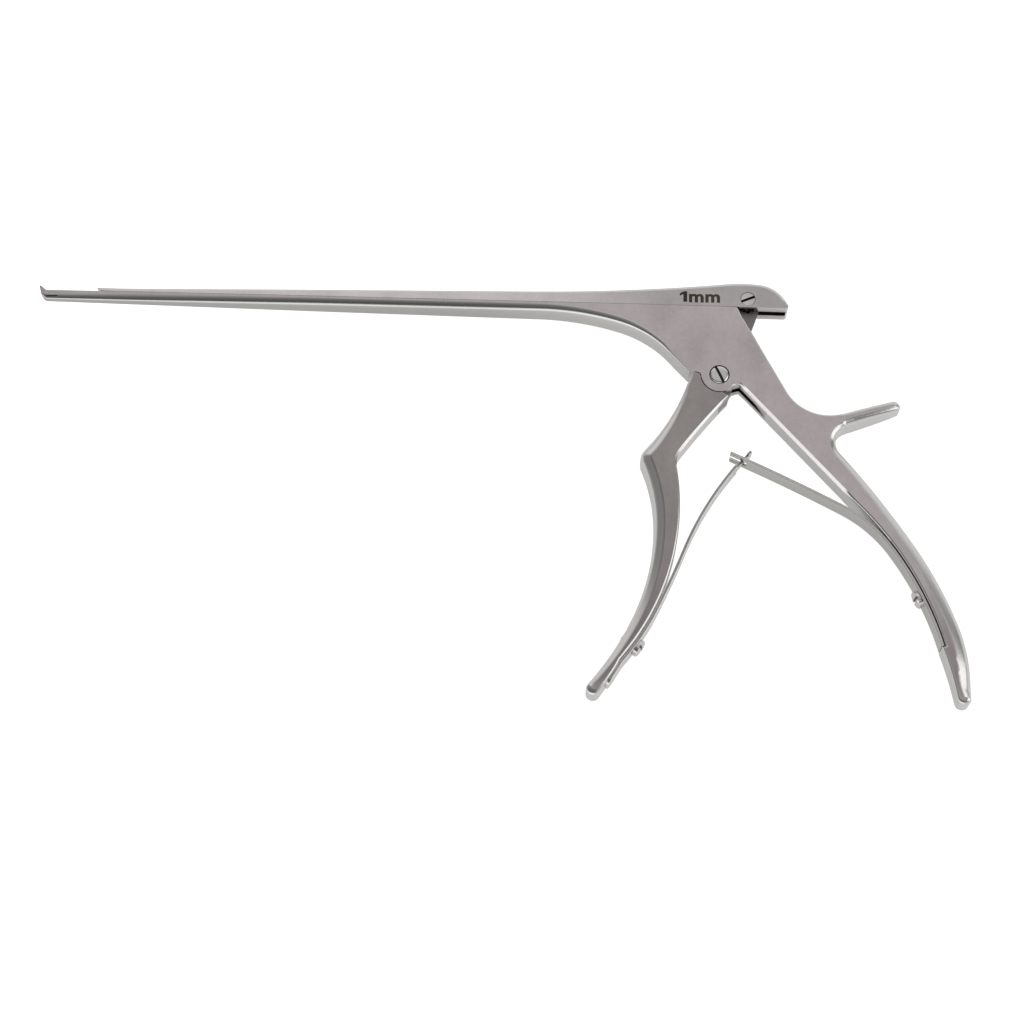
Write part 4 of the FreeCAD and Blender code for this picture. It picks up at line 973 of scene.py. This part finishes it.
shape = Outline(-9.8, -3.2)
shape.arc(-22.6, -24.9, 63, False, (0.8, FINGER)).smooth(-23.4, -29.6, FINGER)
shape.smooth(-19.3, -50, FINGER).smooth(-24.7, -77.4, (FINGER, 3.0))
shape.smooth(-38.23, -100.27, (3.0, 1.8)).smooth(-37.78, -103.32, 1.6)
shape.smooth(-34.68, -102.72, 1.6)
shape.smooth(*polar(BACK_CENTRE, BACK_RADIUS, BACK_END), (1.5, 0.5))
shape.arc(-12.7, -30.6, BACK_RADIUS, True, BACK)
shape.smooth(-11.6, -25.7, BACK + 1j).smooth(2.9, -6.9, (0.9 + 1j, 0.5 + 1j))
shape.line(*polar(0, 5.9, 278), 0.2).arc(*polar(0, 5.9, 188), 5.9, False, 0.1)
shape.arc(*polar(complex(-7.2, -0.86), 1.35, 160), 1.35, True, 0.2)
shape.line(-9.8, -3.2, 0.6)
handle = rounded_plate("trigger_handle", shape, MIDDLE, 52)
nose(handle, -28.7 - 86j, -38.2 - 103.4j, 0.3, 0.1)

# %% [markdown]
# The thin plate is a hub on the pivot, a web that ties it to the grip, and a lever arm
# whose forked end takes the jaw's screw. The fork is open at its end, because the screw
# moves along a straight line while the arm swings on a circle.

# %% The lever arm
HUB = 5.4
ARM_SIDE, FORK_SIDE = 4.2, 1.7
ARM_TOP, FORK_FLOOR = 28.63, 24.1

arm_levels = (MIDDLE - 1.2, MIDDLE + 1.2)
lean = complex(*DRIVE) / abs(complex(*DRIVE))


def beside_arm(rise, side):
    """A point at a rise along the lever arm and a distance to its right."""
    place = lean * (rise - side * 1j)
    return place.real, place.imag


right_half = [(0, ARM_SIDE), (ARM_TOP, ARM_SIDE), (ARM_TOP, FORK_SIDE), (FORK_FLOOR, FORK_SIDE)]
left_half = [(rise, -side) for rise, side in right_half[::-1]]
arm_shape = [beside_arm(rise, side) for rise, side in right_half + left_half]
web_shape = [polar(0, HUB, 188), (-7.2, -3.2), (-7.2, -10.4), (0, -10.4), (2.9, -6.9)]
web_shape += [polar(0, HUB, 320), (0, 0)]
hub = rod((0, 0), HUB, *arm_levels)
combine(handle, [hub, prism(web_shape, *arm_levels), prism(arm_shape, *arm_levels)], "UNION")
combine(handle, [rod((0, 0), PIVOT_BORE, -1, 10)], "DIFFERENCE")


def arm_painted_shade(place, normal):
    """Painted shade: the arm is darker where it works inside the housing and the jaw."""
    return 0.35 if place.y > 6 and abs(place.z - MIDDLE) < 1.3 else 0.0


settle(handle, grip_steel, "front_handle", arm_painted_shade, 18)
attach(handle, "trigger")

# %% [markdown]
# Each leaf spring is cut flat from strip and then bent. It is drawn the same way here: a
# flat outline, along the strip and across it, is rounded at its rim and wrapped onto the
# line that the strip follows.

# %% Bending strip
LEAF_HALF = 0.5
LEAF_SIDE = 3.2
LEAF_EDGE = 0.22
BEND_STEP = 0.8


def along(path):
    """Distance along a line of points, and the direction at each point."""
    steps = np.abs(np.diff(path))
    distance = np.concatenate([[0], np.cumsum(steps)])
    heading = np.unwrap(np.angle(np.gradient(path, distance)))
    return distance, heading


def wrap(strip, path):
    """Bends a flat strip onto a line. A corner at distance s, width w and height t goes to
    p(s) + t n(s), where p is the line and n its left normal, and w goes into the thickness.
    That mirrors the strip, so its faces are then turned to point outwards again."""
    distance, heading = along(path)
    divide(strip, np.arange(BEND_STEP, distance[-1], BEND_STEP))
    flat = corners_of(strip)
    s = flat[:, 0]
    place = np.interp(s, distance, path.real) + 1j * np.interp(s, distance, path.imag)
    beyond = np.where(s > distance[-1], s - distance[-1], np.minimum(s, 0))
    turn = np.exp(1j * np.interp(s, distance, heading))
    place = place + beyond * turn + 1j * turn * (flat[:, 2] - MIDDLE)
    move_corners(strip, np.column_stack([place.real, place.imag, MIDDLE + flat[:, 1]]))
    strip.data.flip_normals()


def strip_outline(half):
    """A strip from the corners of its upper half. Its root is round if they leave room at
    X 0, and straight otherwise."""
    corners = half + [(x, -y) for x, y in half[::-1]]
    shape = Outline(*corners[0])
    for x, y in corners[1:]:
        shape.line(x, y, LEAF_EDGE)
    root_x, side = half[0]
    if root_x < 1:
        return shape.line(root_x, side, LEAF_EDGE)
    return shape.arc(root_x, side, side + 0.05, False, LEAF_EDGE)


def station(path, x):
    """The distance along a line at which its free end passes an X."""
    end = slice(-90, None)
    order = np.argsort(path.real[end])
    return np.interp(x, path.real[end][order], along(path)[0][end][order])


def bend_leaf(name, half, path, screw, finish, node):
    """Cuts a leaf from strip, bores it for the screw at a place, bends it and dresses it."""
    leaf = rounded_plate(name, strip_outline(half), LEAF_HALF, fade=1)
    hole = along(path)[0][np.argmin(np.abs(path - complex(*screw)))]
    combine(leaf, [rod((hole, 0), 1.45, 0, 9)], "DIFFERENCE")
    wrap(leaf, path)
    settle(leaf, finish, node)
    return leaf


# %% [markdown]
# The front leaf starts at the toe, lies on the handle's back and leaves it in two sweeps.
# It ends in a narrow tongue with a small cross head. The rear leaf lies in its seat and
# ends in a fork that the tongue goes through, so that the two push each other apart.

# %% The leaf springs
SEAM = 0.05
FRONT_BEND = BACK_RADIUS + LEAF_HALF + SEAM
REAR_BEND = SEAT_RADIUS - LEAF_HALF - SEAM
FRONT_SCREW, REAR_SCREW = -33.7, 25.2
TONGUE, CROSS_HEAD, FORK_GAP = 1.1, 1.8, 1.45

line = Outline(-32.95, -100.81, 0.3)
line.line(*polar(BACK_CENTRE, FRONT_BEND, BACK_END), 0)
line.arc(*polar(BACK_CENTRE, FRONT_BEND, -25), FRONT_BEND, True, 0)
line.smooth(-10.2, -57.4, 0).smooth(10.0, -24.2, 0)
front_path = np.array(line.points)
tongue, cross, end = station(front_path, 5.4), station(front_path, 8.9), along(front_path)[0][-1]
half = [(3.0, LEAF_SIDE), (tongue, LEAF_SIDE), (tongue, TONGUE)]
half += [(cross, TONGUE), (cross, CROSS_HEAD), (end, CROSS_HEAD)]
screw = polar(BACK_CENTRE, FRONT_BEND, FRONT_SCREW)
front_leaf = bend_leaf("front_leaf", half, front_path, screw, shade_painted_spring, "front_leaf_spring")
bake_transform(front_leaf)
print("front leaf is", round(end, 1), "mm long")

line = Outline(*polar(SEAT_CENTRE, REAR_BEND, SEAT_END + 0.15), 0.3)
line.arc(*polar(SEAT_CENTRE, REAR_BEND, 35), REAR_BEND, True, 0)
line.smooth(37.5, -41.7, 0).smooth(3.6, -25.4, 0)
rear_path = np.array(line.points)
fork, end = station(rear_path, 8.7), along(rear_path)[0][-1]
half = [(0.1, LEAF_SIDE), (end, LEAF_SIDE), (end, FORK_GAP), (fork, FORK_GAP)]
screw = polar(SEAT_CENTRE, REAR_BEND, REAR_SCREW)
rear_leaf = bend_leaf("rear_leaf", half, rear_path, screw, spring_steel, "rear_leaf_spring")
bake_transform(rear_leaf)
print("rear leaf is", round(end, 1), "mm long")

# %% [markdown]
# The screws are turned and then slotted, so each is half a section spun about its axis
# with a block cut out of its head. They are polished, and their slots are painted dark as shade.

# %% Turning screws
LATHE_STEPS = 96
SLOT_HALF = 0.42
HEAD_BEVEL = 0.18
CROWN_STEPS = 7


def turn_profile(name, profile, slot_floor, slot_angle):
    """Spins (radius, height) pairs about an axis; a ring at angle a is r cos a, r sin a."""
    angles = np.linspace(0, 2 * math.pi, LATHE_STEPS, endpoint=False)
    circle = np.column_stack([np.cos(angles), np.sin(angles)])
    rings = [np.column_stack([r * circle, np.full(LATHE_STEPS, h)]) for r, h in profile]
    piece = stack(name, rings)
    spin = np.exp(1j * math.radians(slot_angle))
    plan = [complex(u, v * SLOT_HALF) * spin for u, v in ((-9, -1), (9, -1), (9, 1), (-9, 1))]
    combine(piece, [prism([(p.real, p.imag) for p in plan], slot_floor, 40)], "DIFFERENCE")
    return piece


def crown(radius, rim, rise):
    """The top of a head: a small bevel at its rim, then a low dome, r cos a out and rise
    sin a up."""
    flat = radius - HEAD_BEVEL
    angles = np.linspace(0, math.pi / 2, CROWN_STEPS)[1:]
    dome = [(max(flat * math.cos(a), 0.02), rim + rise * math.sin(a)) for a in angles]
    return [(radius, rim - HEAD_BEVEL), (flat, rim)] + dome


def place_screw(piece, spot, facing, node, body, rim, slot_floor):
    """Lays a screw at a spot, its head facing an angle in the plane or, with None, straight
    up. The slot's walls and floor are painted dark as shade, and so is a shank that is
    seen down a bore."""
    upright = facing is None
    corners = corners_of(piece)
    axis = Vector((0, 0, 1))
    if not upright:
        ahead = np.exp(1j * math.radians(facing))
        axis = Vector((ahead.real, ahead.imag, 0))
        flat = corners[:, 2] * ahead + corners[:, 0] * 1j * ahead
        corners = np.column_stack([flat.real, flat.imag, corners[:, 1]])
    move_corners(piece, corners + np.array([*spot]))
    start = Vector(spot)

    # Painted shade for the slot and, under an upright head, the shank down the bore.
    def in_slot(place, normal):
        rise = (place - start).dot(axis)
        on_wall = abs(normal.dot(axis)) < 0.3 or rise < slot_floor + 0.05
        in_head = (place - start - axis * rise).length < 2.9
        slot = slot_floor - 0.01 < rise < rim + 0.3 and on_wall and in_head
        return (1.0 if upright else 0.45) * (slot or (upright and rise < rim - 1.55))

    settle(piece, screw_steel, node, in_slot, 40)
    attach(piece, body)


# %% [markdown]
# The pivot screw has a low crown above the housing, the jaw's screw is sunk flush, and
# the two screws that clamp the leaves stand proud with round heads.

# %% The screws
top = THICKNESS
section = [(1.75, 0.3), (1.75, top - 1.4), (2.94, top - 1.4)] + crown(2.94, top, 0.42)
pivot = turn_profile("pivot_bolt", section, top - 0.4, -64)
place_screw(pivot, (0, 0, 0), None, "pivot_screw", "frame", top, top - 0.4)

top = THICKNESS - 0.15
section = [(1.5, 0.4), (1.5, top - 1.5), (2.24, top - 1.5)]
section += [(2.24, top - 0.08), (2.16, top), (0.02, top)]
drive = turn_profile("drive_bolt", section, top - 0.8, 23.6)
place_screw(drive, (*DRIVE, 0), None, "drive_screw", "slide", top, top - 0.8)

for side, centre, radius, angle, facing, body in (
    ("front", BACK_CENTRE, BACK_RADIUS, FRONT_SCREW, FRONT_SCREW, "trigger"),
    ("rear", SEAT_CENTRE, SEAT_RADIUS, REAR_SCREW, REAR_SCREW + 180, "frame"),
):
    section = [(1.4, -4.2), (1.4, 1.1), (2.7, 1.1)] + crown(2.7, 2.4, 0.35)
    bolt = turn_profile(f"{side}_bolt", section, 1.95, 90)
    spot = (*polar(centre, radius, angle), MIDDLE)
    place_screw(bolt, spot, facing, f"{side}_spring_screw", body, 2.4, 1.95)
